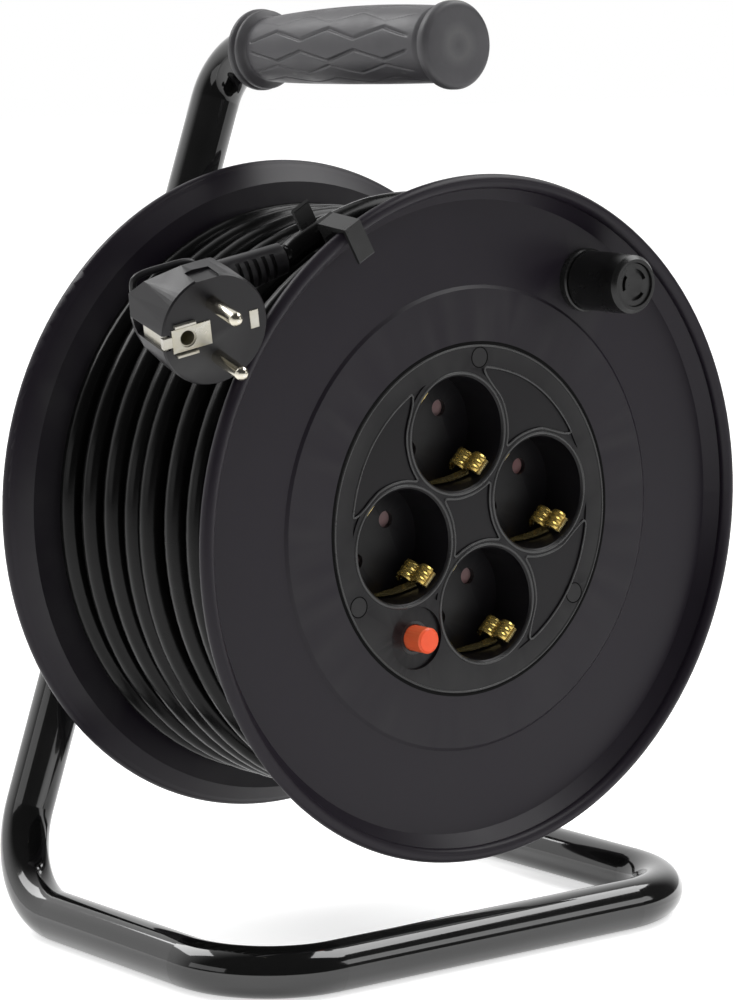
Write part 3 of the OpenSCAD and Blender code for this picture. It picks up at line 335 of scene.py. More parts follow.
def make_floor(half):
    """A square floor, white and matt, that glows a little to the camera and to gloss, under which
    its shadows stay. In gloss the glow is strong near the reel and falls off away from it, as where
    a lamp is aimed at the reel and the room behind is dark."""
    floor = add_mesh("floor", [(-half, -half, 0), (half, -half, 0), (half, half, 0), (-half, half, 0)],
                     [(0, 1, 2, 3)])
    m, tree, out = material("white_floor")
    matt = tree.nodes.new("ShaderNodeBsdfDiffuse")
    matt.inputs["Color"].default_value = (0.86, 0.86, 0.86, 1)
    glow = tree.nodes.new("ShaderNodeEmission")
    glow.inputs["Color"].default_value = (1, 1, 1, 1)
    path, eye = seen_by_eye(tree)
    seen = tree.nodes.new("ShaderNodeMath")
    seen.operation = "MAXIMUM"
    dim = tree.nodes.new("ShaderNodeMath")
    dim.operation = "MULTIPLY"
    place = tree.nodes.new("ShaderNodeNewGeometry")
    far = tree.nodes.new("ShaderNodeVectorMath")
    far.operation = "LENGTH"
    near = tree.nodes.new("ShaderNodeMapRange")
    near.interpolation_type = "SMOOTHSTEP"
    near.inputs["From Min"].default_value, near.inputs["From Max"].default_value = 0.3, 0.75
    near.inputs["To Min"].default_value, near.inputs["To Max"].default_value = 0.7, 0.3
    tree.links.new(place.outputs["Position"], far.inputs[0])
    tree.links.new(far.outputs["Value"], near.inputs["Value"])
    tree.links.new(near.outputs["Result"], dim.inputs[1])
    level = tree.nodes.new("ShaderNodeMath")
    level.operation = "MULTIPLY"
    level.inputs[1].default_value = 0.62
    both = tree.nodes.new("ShaderNodeAddShader")
    tree.links.new(eye, seen.inputs[0])
    tree.links.new(path.outputs["Is Glossy Ray"], dim.inputs[0])
    tree.links.new(dim.outputs[0], seen.inputs[1])
    tree.links.new(seen.outputs[0], level.inputs[0])
    tree.links.new(level.outputs[0], glow.inputs["Strength"])
    tree.links.new(matt.outputs[0], both.inputs[0])
    tree.links.new(glow.outputs[0], both.inputs[1])
    tree.links.new(both.outputs[0], out.inputs["Surface"])
    floor.data.materials.append(m)
    return floor


def softbox(name, at, target, wide, high, watts):
    """A rectangular lamp at a place, facing a target."""
    lamp = bpy.data.lights.new(name, "AREA")
    lamp.shape = "RECTANGLE"
    lamp.size, lamp.size_y, lamp.energy = wide, high, watts
    o = bpy.data.objects.new(name, lamp)
    bpy.context.scene.collection.objects.link(o)
    way = np.array(target) - at
    flat = math.hypot(way[0], way[1])
    o.location = at
    o.rotation_euler = (math.atan2(flat, -way[2]), 0, math.atan2(way[1], way[0]) - math.pi / 2)
    return o


MIDDLE = (0, 0, 0.16)                     # the middle of the reel, in metres


def around(turn, rise, away):
    """Place at a turn in degrees (0 is behind the reel, 90 is right), a rise and a distance."""
    a, b = math.radians(turn), math.radians(rise)
    way = np.array([math.sin(a) * math.cos(b), math.cos(a) * math.cos(b), math.sin(b)])
    return np.array(MIDDLE) + away * way


make_sky(light=0.66, shown=1.0, gloss=(0.05, 1.0))
make_floor(half=6)
softbox("back_left", around(-32, 46, 1.7), MIDDLE, 1.1, 0.7, 12)
softbox("right", around(112, 54, 1.7), MIDDLE, 1.5, 0.85, 18)
softbox("left", around(-85, 8, 1.9), MIDDLE, 1.2, 0.5, 1.8)
softbox("front_right", around(138, 14, 1.9), MIDDLE, 0.8, 0.5, 2.5)
bpy.context.scene.view_settings.view_transform = "Standard"
print("sky, floor and four softboxes")

# %% [markdown]
# ## Materials
# Every finish on the reel is a Principled shader whose colour, roughness and surface vary a little,
# as real mouldings and paint do. Effects that several finishes share are node groups: a grain of
# fine moulded texture, a broad mottle for handling marks, and wear that lightens outer edges.
# %% Shared effects


def new_group(name, inputs, outputs):
    """An empty shader node group with float inputs (name: default) and typed outputs."""
    group = bpy.data.node_groups.new(name, "ShaderNodeTree")
    for key, value in inputs.items():
        socket = group.interface.new_socket(key, in_out="INPUT", socket_type="NodeSocketFloat")
        socket.default_value = value
    for key, kind in outputs.items():
        group.interface.new_socket(key, in_out="OUTPUT", socket_type=kind)
    return group, group.nodes.new("NodeGroupInput"), group.nodes.new("NodeGroupOutput")


def make_grain():
    """Fine moulded texture: two sizes of noise on object coordinates, added. Puts out a height."""
    group, start, end = new_group("moulded_grain", {"Scale": 900.0, "Coarse": 0.3},
                                  {"Height": "NodeSocketFloat"})
    place = group.nodes.new("ShaderNodeTexCoord")
    fine = group.nodes.new("ShaderNodeTexNoise")
    fine.inputs["Detail"].default_value = 3
    coarse = group.nodes.new("ShaderNodeTexNoise")
    coarse.inputs["Detail"].default_value = 2
    slower = group.nodes.new("ShaderNodeMath")
    slower.operation = "MULTIPLY"
    slower.inputs[1].default_value = 0.16
    mix = group.nodes.new("ShaderNodeMix")
    for noise in (fine, coarse):
        group.links.new(place.outputs["Object"], noise.inputs["Vector"])
    group.links.new(start.outputs["Scale"], fine.inputs["Scale"])
    group.links.new(start.outputs["Scale"], slower.inputs[0])
    group.links.new(slower.outputs[0], coarse.inputs["Scale"])
    group.links.new(start.outputs["Coarse"], mix.inputs["Factor"])
    group.links.new(fine.outputs["Fac"], mix.inputs["A"])
    group.links.new(coarse.outputs["Fac"], mix.inputs["B"])
    group.links.new(mix.outputs["Result"], end.inputs["Height"])
    return group


def make_mottle():
    """Broad, soft variation: smooth noise squeezed to a mask from 0 to 1."""
    group, start, end = new_group("handling_mottle", {"Scale": 14.0}, {"Mask": "NodeSocketFloat"})
    place = group.nodes.new("ShaderNodeTexCoord")
    noise = group.nodes.new("ShaderNodeTexNoise")
    noise.inputs["Detail"].default_value = 6
    noise.inputs["Roughness"].default_value = 0.62
    squeeze = group.nodes.new("ShaderNodeMapRange")
    squeeze.interpolation_type = "SMOOTHSTEP"
    squeeze.inputs["From Min"].default_value = 0.32
    squeeze.inputs["From Max"].default_value = 0.7
    group.links.new(place.outputs["Object"], noise.inputs["Vector"])
    group.links.new(start.outputs["Scale"], noise.inputs["Scale"])
    group.links.new(noise.outputs["Fac"], squeeze.inputs["Value"])
    group.links.new(squeeze.outputs["Result"], end.inputs["Mask"])
    return group


def make_wear():
    """Outer edges that hands and floors polish: Pointiness above flat, broken up by noise."""
    group, start, end = new_group("edge_wear", {"Reach": 0.52, "Break": 60.0},
                                  {"Mask": "NodeSocketFloat"})
    shape = group.nodes.new("ShaderNodeNewGeometry")
    place = group.nodes.new("ShaderNodeTexCoord")
    noise = group.nodes.new("ShaderNodeTexNoise")
    noise.inputs["Detail"].default_value = 4
    edge = group.nodes.new("ShaderNodeMapRange")
    edge.inputs["From Max"].default_value = 0.6
    both = group.nodes.new("ShaderNodeMath")
    both.operation = "MULTIPLY"
    group.links.new(place.outputs["Object"], noise.inputs["Vector"])
    group.links.new(start.outputs["Break"], noise.inputs["Scale"])
    group.links.new(start.outputs["Reach"], edge.inputs["From Min"])
    group.links.new(shape.outputs["Pointiness"], edge.inputs["Value"])
    group.links.new(edge.outputs["Result"], both.inputs[0])
    group.links.new(noise.outputs["Fac"], both.inputs[1])
    group.links.new(both.outputs[0], end.inputs["Mask"])
    return group


GRAIN, MOTTLE, WEAR = make_grain(), make_mottle(), make_wear()
print("shared effects:", GRAIN.name, MOTTLE.name, WEAR.name)

# %% [markdown]
# One function builds a finish from those effects. The colour mixes from a base to a second shade by
# the mottle and then to a third along worn edges. The roughness runs between two values by the same
# mottle, and the grain goes through a Bump node. Values that are the same all over sit on the
# shader itself.
# %% A finish from shared effects


def use(tree, group, **values):
    """A copy of a shared effect in a material, with its own values."""
    node = tree.nodes.new("ShaderNodeGroup")
    node.node_tree = group
    for key, value in values.items():
        node.inputs[key].default_value = value
    return node


def shade(value):
    """A grey or a colour as the four numbers that a colour socket takes."""
    return (value, value, value, 1) if isinstance(value, (int, float)) else (*value, 1)


def finish(name, base, second, worn, rough, grain=900, coarse=0.3, bump=0.1, depth=0.05, mottle=14,
           metallic=0.0, coat=0.0, coat_rough=0.1, specular=0.5):
    """A moulded, painted or plated finish. rough is (lowest, highest), depth the grain's in mm."""
    m, tree, out = material(name)
    surface = tree.nodes.new("ShaderNodeBsdfPrincipled")
    surface.inputs["Metallic"].default_value = metallic
    surface.inputs["Specular IOR Level"].default_value = specular
    surface.inputs["Coat Weight"].default_value = coat
    surface.inputs["Coat Roughness"].default_value = coat_rough
    marks = use(tree, MOTTLE, Scale=mottle)
    wear = use(tree, WEAR)
    texture = use(tree, GRAIN, Scale=grain, Coarse=coarse)
    tint = tree.nodes.new("ShaderNodeMix")
    tint.data_type = "RGBA"
    tint.inputs["A"].default_value = shade(base)
    tint.inputs["B"].default_value = shade(second)
    edge = tree.nodes.new("ShaderNodeMix")
    edge.data_type = "RGBA"
    edge.inputs["B"].default_value = shade(worn)
    spread = tree.nodes.new("ShaderNodeMapRange")
    spread.inputs["To Min"].default_value, spread.inputs["To Max"].default_value = rough
    relief = tree.nodes.new("ShaderNodeBump")
    relief.inputs["Strength"].default_value = bump
    relief.inputs["Distance"].default_value = depth * MM
    tree.links.new(marks.outputs["Mask"], tint.inputs["Factor"])
    tree.links.new(tint.outputs["Result"], edge.inputs["A"])
    tree.links.new(wear.outputs["Mask"], edge.inputs["Factor"])
    tree.links.new(edge.outputs["Result"], surface.inputs["Base Color"])
    tree.links.new(marks.outputs["Mask"], spread.inputs["Value"])
    tree.links.new(spread.outputs["Result"], surface.inputs["Roughness"])
    tree.links.new(texture.outputs["Height"], relief.inputs["Height"])
    tree.links.new(relief.outputs["Normal"], surface.inputs["Normal"])
    tree.links.new(surface.outputs["BSDF"], out.inputs["Surface"])
    return m


finishes = {
    "black_paint": finish("gloss_black_paint", 0.0035, 0.005, 0.02, (0.06, 0.12), grain=220, coarse=0.8,
                          bump=0.1, depth=0.3, mottle=9, coat=0.7, coat_rough=0.03),
    "grip_rubber": finish("grip_rubber", (0.048, 0.0465, 0.051), (0.066, 0.064, 0.069), 0.11,
                          (0.4, 0.56), grain=1500, bump=0.22, depth=0.1, mottle=60),
    "drum_plastic": finish("drum_plastic", (0.0098, 0.0074, 0.0118), (0.013, 0.01, 0.0152), 0.04,
                           (0.34, 0.44), grain=1800, coarse=0.2, bump=0.16, depth=0.06, mottle=11,
                           specular=0.24),
    "panel_plastic": finish("panel_plastic", (0.005, 0.0044, 0.0054), (0.008, 0.0072, 0.0086), 0.03,
                            (0.3, 0.44), grain=1300, bump=0.25, depth=0.08, mottle=24, specular=0.22),
    "black_plastic": finish("black_plastic", 0.005, 0.008, 0.03, (0.22, 0.36), grain=1100, bump=0.14,
                            depth=0.08, mottle=30, specular=0.4),
    "plug_plastic": finish("plug_plastic", (0.0075, 0.0068, 0.008), (0.0105, 0.0096, 0.0112), 0.05,
                           (0.3, 0.42), grain=1300, bump=0.25, depth=0.08, mottle=35, specular=0.3),
    "cable_sheath": finish("cable_sheath", 0.0012, 0.0022, 0.01, (0.18, 0.28), grain=700, bump=0.16,
                           depth=0.1, mottle=20, specular=0.2),
    "zinc_steel": finish("zinc_steel", (0.5, 0.51, 0.53), (0.4, 0.4, 0.41), 0.65, (0.26, 0.4),
                         grain=1600, bump=0.15, depth=0.05, mottle=60, metallic=1),
    "white_plastic": finish("white_plastic", (0.72, 0.7, 0.63), (0.64, 0.61, 0.53), 0.8, (0.35, 0.5),
                            grain=900, bump=0.1, depth=0.05, mottle=40),
    "brass": finish("brass", (0.84, 0.64, 0.2), (0.68, 0.47, 0.12), (0.95, 0.82, 0.45), (0.16, 0.3),
                    grain=1200, bump=0.12, depth=0.05, mottle=90, metallic=0.86),
    "nickel_pins": finish("nickel_pins", (0.72, 0.69, 0.6), (0.6, 0.56, 0.46), 0.85, (0.14, 0.26),
                          grain=1500, bump=0.08, depth=0.03, mottle=60, metallic=1),
    "red_button": finish("red_button", (0.92, 0.075, 0.014), (0.84, 0.06, 0.012), (0.95, 0.28, 0.12),
                         (0.3, 0.42), grain=900, bump=0.1, depth=0.05, mottle=50, specular=0.35),
    "shutter_plastic": finish("shutter_plastic", (0.22, 0.045, 0.045), (0.17, 0.03, 0.03), 0.3,
                              (0.35, 0.5), grain=900, bump=0.1, depth=0.05, mottle=60),
    "brown_wire": finish("brown_wire", (0.12, 0.045, 0.02), (0.09, 0.03, 0.012), 0.2, (0.3, 0.42)),
    "blue_wire": finish("blue_wire", (0.03, 0.1, 0.42), (0.02, 0.08, 0.34), 0.3, (0.3, 0.42)),
    "green_wire": finish("green_wire", (0.2, 0.4, 0.05), (0.5, 0.5, 0.04), 0.4, (0.3, 0.42),
                         mottle=120),
    # Lighter than the panel plastic: a painted highlight along the beads' edges.
    "bead_painted_highlight": finish("bead_painted_highlight", 0.028, 0.04, 0.08, (0.26, 0.38), grain=1300, bump=0.15, depth=0.05,
                        mottle=70),
    # Near black: painted shade in the panel's seam and round the screw caps.
    "seam_shadow": finish("seam_shadow", 0.0012, 0.002, 0.004, (0.6, 0.8), specular=0.1),
    "tinned_brass": finish("tinned_brass", (0.42, 0.385, 0.26), (0.32, 0.28, 0.16), 0.55, (0.26, 0.4),
                           grain=1300, bump=0.12, depth=0.05, mottle=110, metallic=0.8),
}
print(len(finishes), "finishes")

# %% [markdown]
# ## The grip
# The rubber grip is pushed onto the tube's end. Its body carries sunk zigzag lines that keep a wet
# hand from slipping, each line in step against its neighbours, so that they close into long
# diamonds. The sleeve is fuller on top, where the palm lies, and ends in a round cap.
# A turned profile with a height added to it gives the whole sleeve as one surface, with real grooves.
# %% Grip sleeve
GRIP_FROM, GRIP_LONG, GRIP_R, HANDLE_RISE = 20, 113, 13.5, math.radians(1.9)
BORE_R, BORE_DEEP = 9.05, 106.5
CORNER = np.array([0, 77, 314.8])             # where the tube's leg and handle would meet
ZIGZAG_FROM, ZIGZAG_LONG, ZIGZAG_SWING, ZIGZAG_DEEP, ZIGZAG_HALF = 25, 31.3, 8, 0.9, 0.8
# Each line's direction in degrees, which way it swings first, and its share of the full depth.
ZIGZAGS = [(-60, 1, 0.5), (-35, 1, 0.6), (-12, -1, 1), (21, 1, 1), (47, -1, 0.3), (73, 1, 0.8)]
BODY = np.linspace(6.6, 104, 270)             # stations along the body


def sleeve_profile():
    """Radius along the grip from its back end: bore, double collar with a groove, a body that swells
    from a narrow neck as the root of a sine, and the round cap."""
    neck, cap, end = 11.4, 15.3, GRIP_LONG - 6.6
    swell = neck + (GRIP_R - neck) * np.sin(np.pi * (BODY - 6.6) / 132) ** 0.6
    back = [(BORE_DEEP, 0.01), (BORE_DEEP, BORE_R * 0.6), (BORE_DEEP, BORE_R), (70, BORE_R),
            (30, BORE_R), (-0.5, BORE_R), (-1, BORE_R + 0.4), (-1.2, 13.4), (-0.9, 14.3), (-0.2, 14.8),
            (1.2, 14.8), (1.7, 14.3), (2, 13.6), (2.4, 13.4), (2.7, 13.8), (3.2, 14.3), (4.2, 14.3),
            (4.8, 13.8), (5.4, 12.4), (6, 11.5)]
    front = [(end - 1.4, 12.8), (end - 0.4, 12.3), (end + 0.7, 12.7), (end + 1.7, cap - 1.1),
             (end + 2.2, cap - 0.5), (end + 2.9, cap), (end + 5, cap), (end + 5.8, cap - 0.5),
             (end + 6.3, cap - 1.2), (end + 6.55, cap - 2.4), (end + 6.75, cap * 0.6),
             (end + 6.85, cap * 0.3), (end + 6.87, 0.01)]
    return np.vstack([back, np.stack([BODY, swell], -1), front]), len(back)


def zigzag_depth(along, turn):
    """Sunk lines: each has its own direction, swings 8 degrees to either side over 31.3 mm, and its
    V profile is up to 0.9 mm deep and 1.6 mm wide; sides of the grip mirror each other."""
    mirrored = np.where(np.abs(turn) > 90, np.sign(turn) * 180 - turn, turn)
    phase = ((along - ZIGZAG_FROM) / ZIGZAG_LONG) % 1
    swing = ZIGZAG_SWING * (1 - 4 * np.abs(phase - np.clip(np.round(phase), 0, 1)))
    away = np.full(np.shape(along + turn), 9.0)
    for middle, step, share in ZIGZAGS:
        line = np.abs(mirrored - middle - step * swing) * np.pi / 180 * GRIP_R
        away = np.minimum(away, np.clip(1 - share + line / ZIGZAG_HALF, 0, 9))
    fade = np.clip((along - 8) / 3, 0, 1) * np.clip((102 - along) / 3, 0, 1)
    return ZIGZAG_DEEP * np.clip(1 - away, 0, 1) * fade


def palm_swell(along, turn):
    """Height of the palm's swell: a sine along the body, most on top and a little less underneath."""
    return np.sin(np.pi * np.clip((along - 8) / 112, 0, 1)) * (0.4 + 0.8 * np.sin(np.radians(turn)))


def make_grip(columns=256):
    """The profile turned about the tube's axis, less the zigzag depth on its body."""
    profile, first = sleeve_profile()
    along, radius = profile[:, :1], profile[:, 1:]
    turn = 90 - np.arange(columns)[None, :] * 360 / columns
    turn = (turn + 180) % 360 - 180
    on_body = np.zeros(len(profile))
    on_body[first:first + len(BODY)] = 1
    r = radius + (palm_swell(along, turn) - zigzag_depth(along, turn)) * on_body[:, None]
    way = np.array([0, -math.cos(HANDLE_RISE), math.sin(HANDLE_RISE)])
    rise = np.array([0, math.sin(HANDLE_RISE), math.cos(HANDLE_RISE)])
    a = np.radians(turn)[..., None]
    points = (CORNER + (along + GRIP_FROM)[..., None] * way
              + r[..., None] * (np.cos(a) * [-1, 0, 0] + np.sin(a) * rise))
    faces = [tuple(f) for f in grid_faces(len(profile), columns).tolist()]
    faces.append(tuple(range(columns))[::-1])
    faces.append(tuple(range((len(profile) - 1) * columns, len(profile) * columns)))
    uv = np.stack(np.broadcast_arrays(turn / 360 * 2 * np.pi * GRIP_R, along), -1).reshape(-1, 2) * MM
    return add_mesh("grip_sleeve", points.reshape(-1, 3) * MM, faces, uv)


grip = make_grip()
grip.data.materials.append(finishes["grip_rubber"])
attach(grip, "stand")
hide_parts("handle_grip")
print("grip:", len(grip.data.polygons), "faces")

# %% [markdown]
# ## Trim on the socket panel
# A moulded panel shows its make in small things: a seam where it sits in the flange, a fine rim inside
# that seam, a bead round every socket and every sunk field, and rings round the screw caps. Each is a
# low half-round bead carried along a closed line on the panel's face. The seam and the rings are near
# black, painted shade in the gaps; the rim and the other beads are lighter than the panel, a painted
# highlight along their edges.
# %% Beads on the panel
FACE_Y = 4.5                                  # the panel's face behind the flange's edge
SOCKET_R, RECESS_R, SOCKET_TURNS = 31.2, 20.0, [12.5, 102.5, 192.5, 282.5]
PANEL_R, RIM_LAND = 61.5, 8.6
WEB, SPOKE = 3, 6.5                           # from a recess to a field, and half a spoke's width
FIELDS = ((57.5, 42), (147.5, 42), (327.5, 42), (0, 0))
CAP_TURNS, CAP_CENTRE, CAP_R = (87, 207, 327), 56.5, 3.55
BEAD_SUNK = 0.15                              # a bead's foot below the face


def ring_line(turn, centre_r, radius, points=120):
    """Closed circle in the panel's plane, as (x, z) in mm about the axle."""
    a = np.arange(points) * 2 * np.pi / points
    c = math.radians(turn)
    return np.stack([centre_r * math.cos(c) + radius * np.cos(a),
                     centre_r * math.sin(c) + radius * np.sin(a)], -1)


def field_line(turn, start_r, points=200):
    """Edge of a sunk field: from a place inside it, steps outwards in every direction until the
    nearest socket, spoke or rim is reached."""
    a = np.arange(points) * 2 * np.pi / points
    reach = np.arange(0.5, 60, 0.1)
    c = math.radians(turn)
    x = start_r * math.cos(c) + np.cos(a)[:, None] * reach
    z = start_r * math.sin(c) + np.sin(a)[:, None] * reach
    room = PANEL_R - RIM_LAND - np.hypot(x, z)
    for t in np.radians(SOCKET_TURNS):
        along, across = x * math.cos(t) + z * math.sin(t), np.abs(z * math.cos(t) - x * math.sin(t))
        off_socket = np.hypot(x - SOCKET_R * math.cos(t), z - SOCKET_R * math.sin(t))
        room = np.minimum(room, off_socket - (RECESS_R + WEB))
        room = np.minimum(room, np.where(along > SOCKET_R, across - SPOKE, 9))
    far = reach[np.argmax(room <= 0, axis=1)] + 0.35
    for _ in range(4):
        far = (np.roll(far, 1) + 2 * far + np.roll(far, -1)) / 4
    return np.stack([start_r * math.cos(c) + far * np.cos(a),
                     start_r * math.sin(c) + far * np.sin(a)], -1)


def bead(name, lines, wide, high, finish_name, face=FACE_Y, sides=7):
    """Half-round beads along closed lines: across the line the height is a half sine of the width."""
    k = np.linspace(0, np.pi, sides)
    across = np.concatenate([-np.cos(k) * wide / 2, [0]])
    out = np.concatenate([np.sin(k) * high, [-BEAD_SUNK]])
    points, faces, start = [], [], 0
    for line in lines:
        along = np.roll(line, -1, axis=0) - np.roll(line, 1, axis=0)
        along /= np.linalg.norm(along, axis=1)[:, None]
        normal = np.stack([along[:, 1], -along[:, 0]], -1)
        flat = line[:, None] + across[None, :, None] * normal[:, None]
        ring = np.stack([flat[..., 0], np.broadcast_to(face - out, flat.shape[:2]), flat[..., 1]], -1)
        r, c = np.meshgrid(np.arange(len(line)), np.arange(sides + 1), indexing="ij")
        following, beside = (r + 1) % len(line), (c + 1) % (sides + 1)
        quads = (np.stack([r, following, following, r], -1) * (sides + 1)
                 + np.stack([c, c, beside, beside], -1))
        points.append(ring.reshape(-1, 3))
        faces += (quads.reshape(-1, 4) + start).tolist()
        start += ring.shape[0] * ring.shape[1]
    piece = add_mesh(name, on_drum(np.vstack(points)), [tuple(f) for f in faces])
    piece.data.materials.append(finishes[finish_name])
    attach(piece, "drum")
    return piece


# The seam is near black, painted shade where the panel meets the flange.
bead("panel_seam", [ring_line(0, 0, PANEL_R + 0.1, 240)], 1.1, 0.1, "seam_shadow")
# The rim, socket and field beads are lighter than the panel, a painted highlight along their edges.
bead("panel_rim", [ring_line(0, 0, PANEL_R - 0.95, 240)], 0.7, 0.3, "bead_painted_highlight")
bead("socket_beads", [ring_line(t, SOCKET_R, RECESS_R + 1.1) for t in SOCKET_TURNS], 1.0, 0.35,
     "bead_painted_highlight")
bead("field_beads", [field_line(t, r) for t, r in FIELDS], 0.8, 0.28, "bead_painted_highlight")
# Near-black rings: painted shade round the screw caps.
bead("cap_rings", [ring_line(t, CAP_CENTRE, CAP_R, 48) for t in CAP_TURNS], 0.45, 0.12, "seam_shadow")
print("seam, rim, beads and rings on the panel")

# %% [markdown]
# ## Springs of the earth contacts
# In each socket a pair of brass springs grips the plug's side. The lower one wears a sleeve: a strip
# bent to a nose and a flared mouth, with ribs pressed along it. The strip's bend is a smooth line
# from a few points, and the ribs are a cosine across its width, so that light catches each one.
# %% Earth springs
# Distance from the socket's axis and depth behind the panel's face, from the recess's floor outwards.
SPRING_BEND = [(18.2, 16.5), (16.4, 15.2), (14.2, 13.6), (13.6, 11.6), (14.9, 9.9), (16.6, 8.9),
               (16.9, 8.0), (15.2, 6.6), (14.9, 4.6), (15.8, 3.2), (17.4, 2.5)]
PIN_LINE, SPRING_WIDE, SHEET = 46, 6.8, 0.35
RIBS, RIB_HIGH = 3, 0.32


def spring_points(turn, columns=31):
    """Strip with ribs: its bend gives distance from the socket's axis and depth behind the face, and
    across the width the inner face stands out by a cosine of three ribs, less a little at the sides."""
    bend = smooth_path(SPRING_BEND, 5)
    along = np.gradient(bend, axis=0)
    along /= np.linalg.norm(along, axis=1)[:, None]
    inwards = np.stack([along[:, 1], -along[:, 0]], -1)
    inwards *= np.where(inwards[:, :1] > 0, -1, 1)
    across = np.linspace(-0.5, 0.5, columns)
    rib = RIB_HIGH * (0.5 + 0.5 * np.cos(across * RIBS * 2 * np.pi + np.pi * (RIBS - 1)))
    rib -= 0.9 * np.clip(np.abs(across) - 0.46, 0, 1)
    upper = bend[:, None] + inwards[:, None] * (SHEET + rib)[None, :, None]
    lower = np.repeat(bend[:, None], columns, axis=1)
    loop = np.concatenate([upper, lower[:, ::-1]], axis=1)
    width = np.concatenate([across, across[::-1]]) * SPRING_WIDE
    t, way = math.radians(turn), math.radians(PIN_LINE - 90)
    centre = np.array([SOCKET_R * math.cos(t), 0, SOCKET_R * math.sin(t)])
    radial = np.array([math.cos(way), 0, math.sin(way)])
    sideways = np.array([-math.sin(way), 0, math.cos(way)])
    return (centre + loop[..., :1] * radial + np.array([0, 1, 0]) * (FACE_Y + loop[..., 1:])
            + width[None, :, None] * sideways)


def make_springs():
    """The ribbed sleeve on the lower spring of every socket, as one piece."""
    points, faces, start = [], [], 0
    for turn in SOCKET_TURNS:
        p = spring_points(turn)
        rows, columns = p.shape[:2]
        points.append(p.reshape(-1, 3))
        faces += (grid_faces(rows, columns) + start).tolist()
        faces.append([start + i for i in range(columns)][::-1])
        faces.append([start + (rows - 1) * columns + i for i in range(columns)])
        start += rows * columns
    return add_mesh("earth_springs", on_drum(np.vstack(points)), [tuple(f) for f in faces])


springs = make_springs()
springs.data.materials.append(finishes["brass"])
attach(springs, "drum")
print("springs:", len(springs.data.polygons), "faces")

# %% [markdown]
# ## The plug's body
# The plug is a solid rubber moulding with flat facets: a round face, a tall flat cheek on the left, a
# sloping roof, and a back that narrows to the cable. A convex hull round a few corner points gives
# exactly such facets. Three cuts follow: the groove for the side contact, a shallow notch in the
# roof, and the hole of the earth socket. The loop behind it, for pulling the plug out, is a band
# along a rounded rectangle.
# %% Plug body
# Where facets meet behind the round face: direction, radius and place along the pins, face at 0.
RIDGES = [(153, 19.8, -26), (135, 19.6, -21), (100, 19.4, -13.5), (72, 19.4, -15), (50, 19.2, -12),
          (172, 19.8, -22), (200, 19.3, -17), (225, 19, -13), (255, 18.8, -12), (290, 18.8, -12),
          (325, 18.8, -14), (10, 18.9, -20), (345, 18.9, -20)]


def around_z(turn, radius, z):
    """Point of the plug at a direction in degrees about the pins' axis."""
    a = np.radians(turn)
    return np.stack(np.broadcast_arrays(radius * np.cos(a), radius * np.sin(a), z), -1)


def box_corners(x, y, z):
    """The eight corners of a box between pairs of x, y and z."""
    return [(a, b, c) for a in x for b in y for c in z]


def hull_mesh(name, points):
    """Convex hull of points in metres, as a mesh object."""
    form = bmesh.new()
    for p in points:
        form.verts.new(p)
    result = bmesh.ops.convex_hull(form, input=form.verts)
    loose = [g for g in result["geom_interior"] + result["geom_unused"]
             if isinstance(g, bmesh.types.BMVert)]
    bmesh.ops.delete(form, geom=list(set(loose)), context="VERTS")
    bmesh.ops.dissolve_limit(form, angle_limit=math.radians(0.5), verts=form.verts, edges=form.edges)
    bmesh.ops.recalc_face_normals(form, faces=form.faces)
    mesh = bpy.data.meshes.new(name)
    form.to_mesh(mesh)
    form.free()
    piece = bpy.data.objects.new(name, mesh)
    bpy.context.scene.collection.objects.link(piece)
    return piece


def cut_away(piece, tools):
    """Subtract tools from a piece for good, and remove them."""
    for tool in tools:
        cut = piece.modifiers.new("cut", "BOOLEAN")
        cut.operation, cut.solver, cut.object = "DIFFERENCE", "EXACT", tool
    bpy.context.view_layer.update()
    solid = bpy.data.meshes.new_from_object(piece.evaluated_get(bpy.context.evaluated_depsgraph_get()))
    piece.modifiers.clear()
    piece.data = solid
    for tool in tools:
        bpy.data.objects.remove(tool)


FACE_R, ROOT_R, BACK_Z = 19, 8.6, -38.9       # round face, root of the strain relief, the back
ring = np.arange(72) * 5
corners = [around_z(ring, FACE_R - 0.5, 0.1), around_z(ring, FACE_R, -0.6),
           around_z(*np.array(RIDGES).T)]
back = np.array([(x + 4 * math.cos(t), y + 4 * math.sin(t), z)
                 for x, y in ((-8, -10), (-8, 0), (9, -8), (9, 3))
                 for t in np.arange(8) * math.pi / 4 for z in (-35, -38.2)])
root = np.array([(x, ROOT_R * math.cos(t), -PLUG_CORD + ROOT_R * math.sin(t) * 0.98) for x in (10, 18)
                 for t in np.arange(24) * math.pi / 12])
root[:, 2] = np.maximum(root[:, 2], BACK_Z)
plug = hull_mesh("plug_moulding", on_drum(on_plug(np.vstack(corners + [back, root]))))
groove = hull_mesh("groove", on_drum(on_plug(box_corners((-24, -16.3), (-2.7, 2.7), (-20.5, 2)))))
notch = hull_mesh("notch", on_drum(on_plug(box_corners((-5, 3.5), (18, 24), (-8, 2)))))
hole = hull_mesh("hole", on_drum(on_plug(np.vstack([around_z(ring[::2], 3.08, z) + [-10, 0, 0]
                                                    for z in (-14.6, 2)]))))
cut_away(plug, [groove, notch, hole])
soft_edge = plug.modifiers.new("soft_edge", "BEVEL")
soft_edge.width, soft_edge.segments, soft_edge.limit_method = 0.35 * MM, 2, "ANGLE"
soft_edge.angle_limit = math.radians(14)
plug.data.materials.clear()
plug.data.materials.append(finishes["plug_plastic"])
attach(plug, "drum")
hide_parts("plug_body")
turn = np.radians(np.arange(0, 360, 5))
circle = np.stack([np.cos(turn), np.sin(turn)], -1)
square = np.sign(circle) * np.abs(circle) ** 0.45
loop_line = np.column_stack([0.5 + 11.6 * square[:, 0], 3.5 + 6 * square[:, 1], np.full(72, -37.2)])
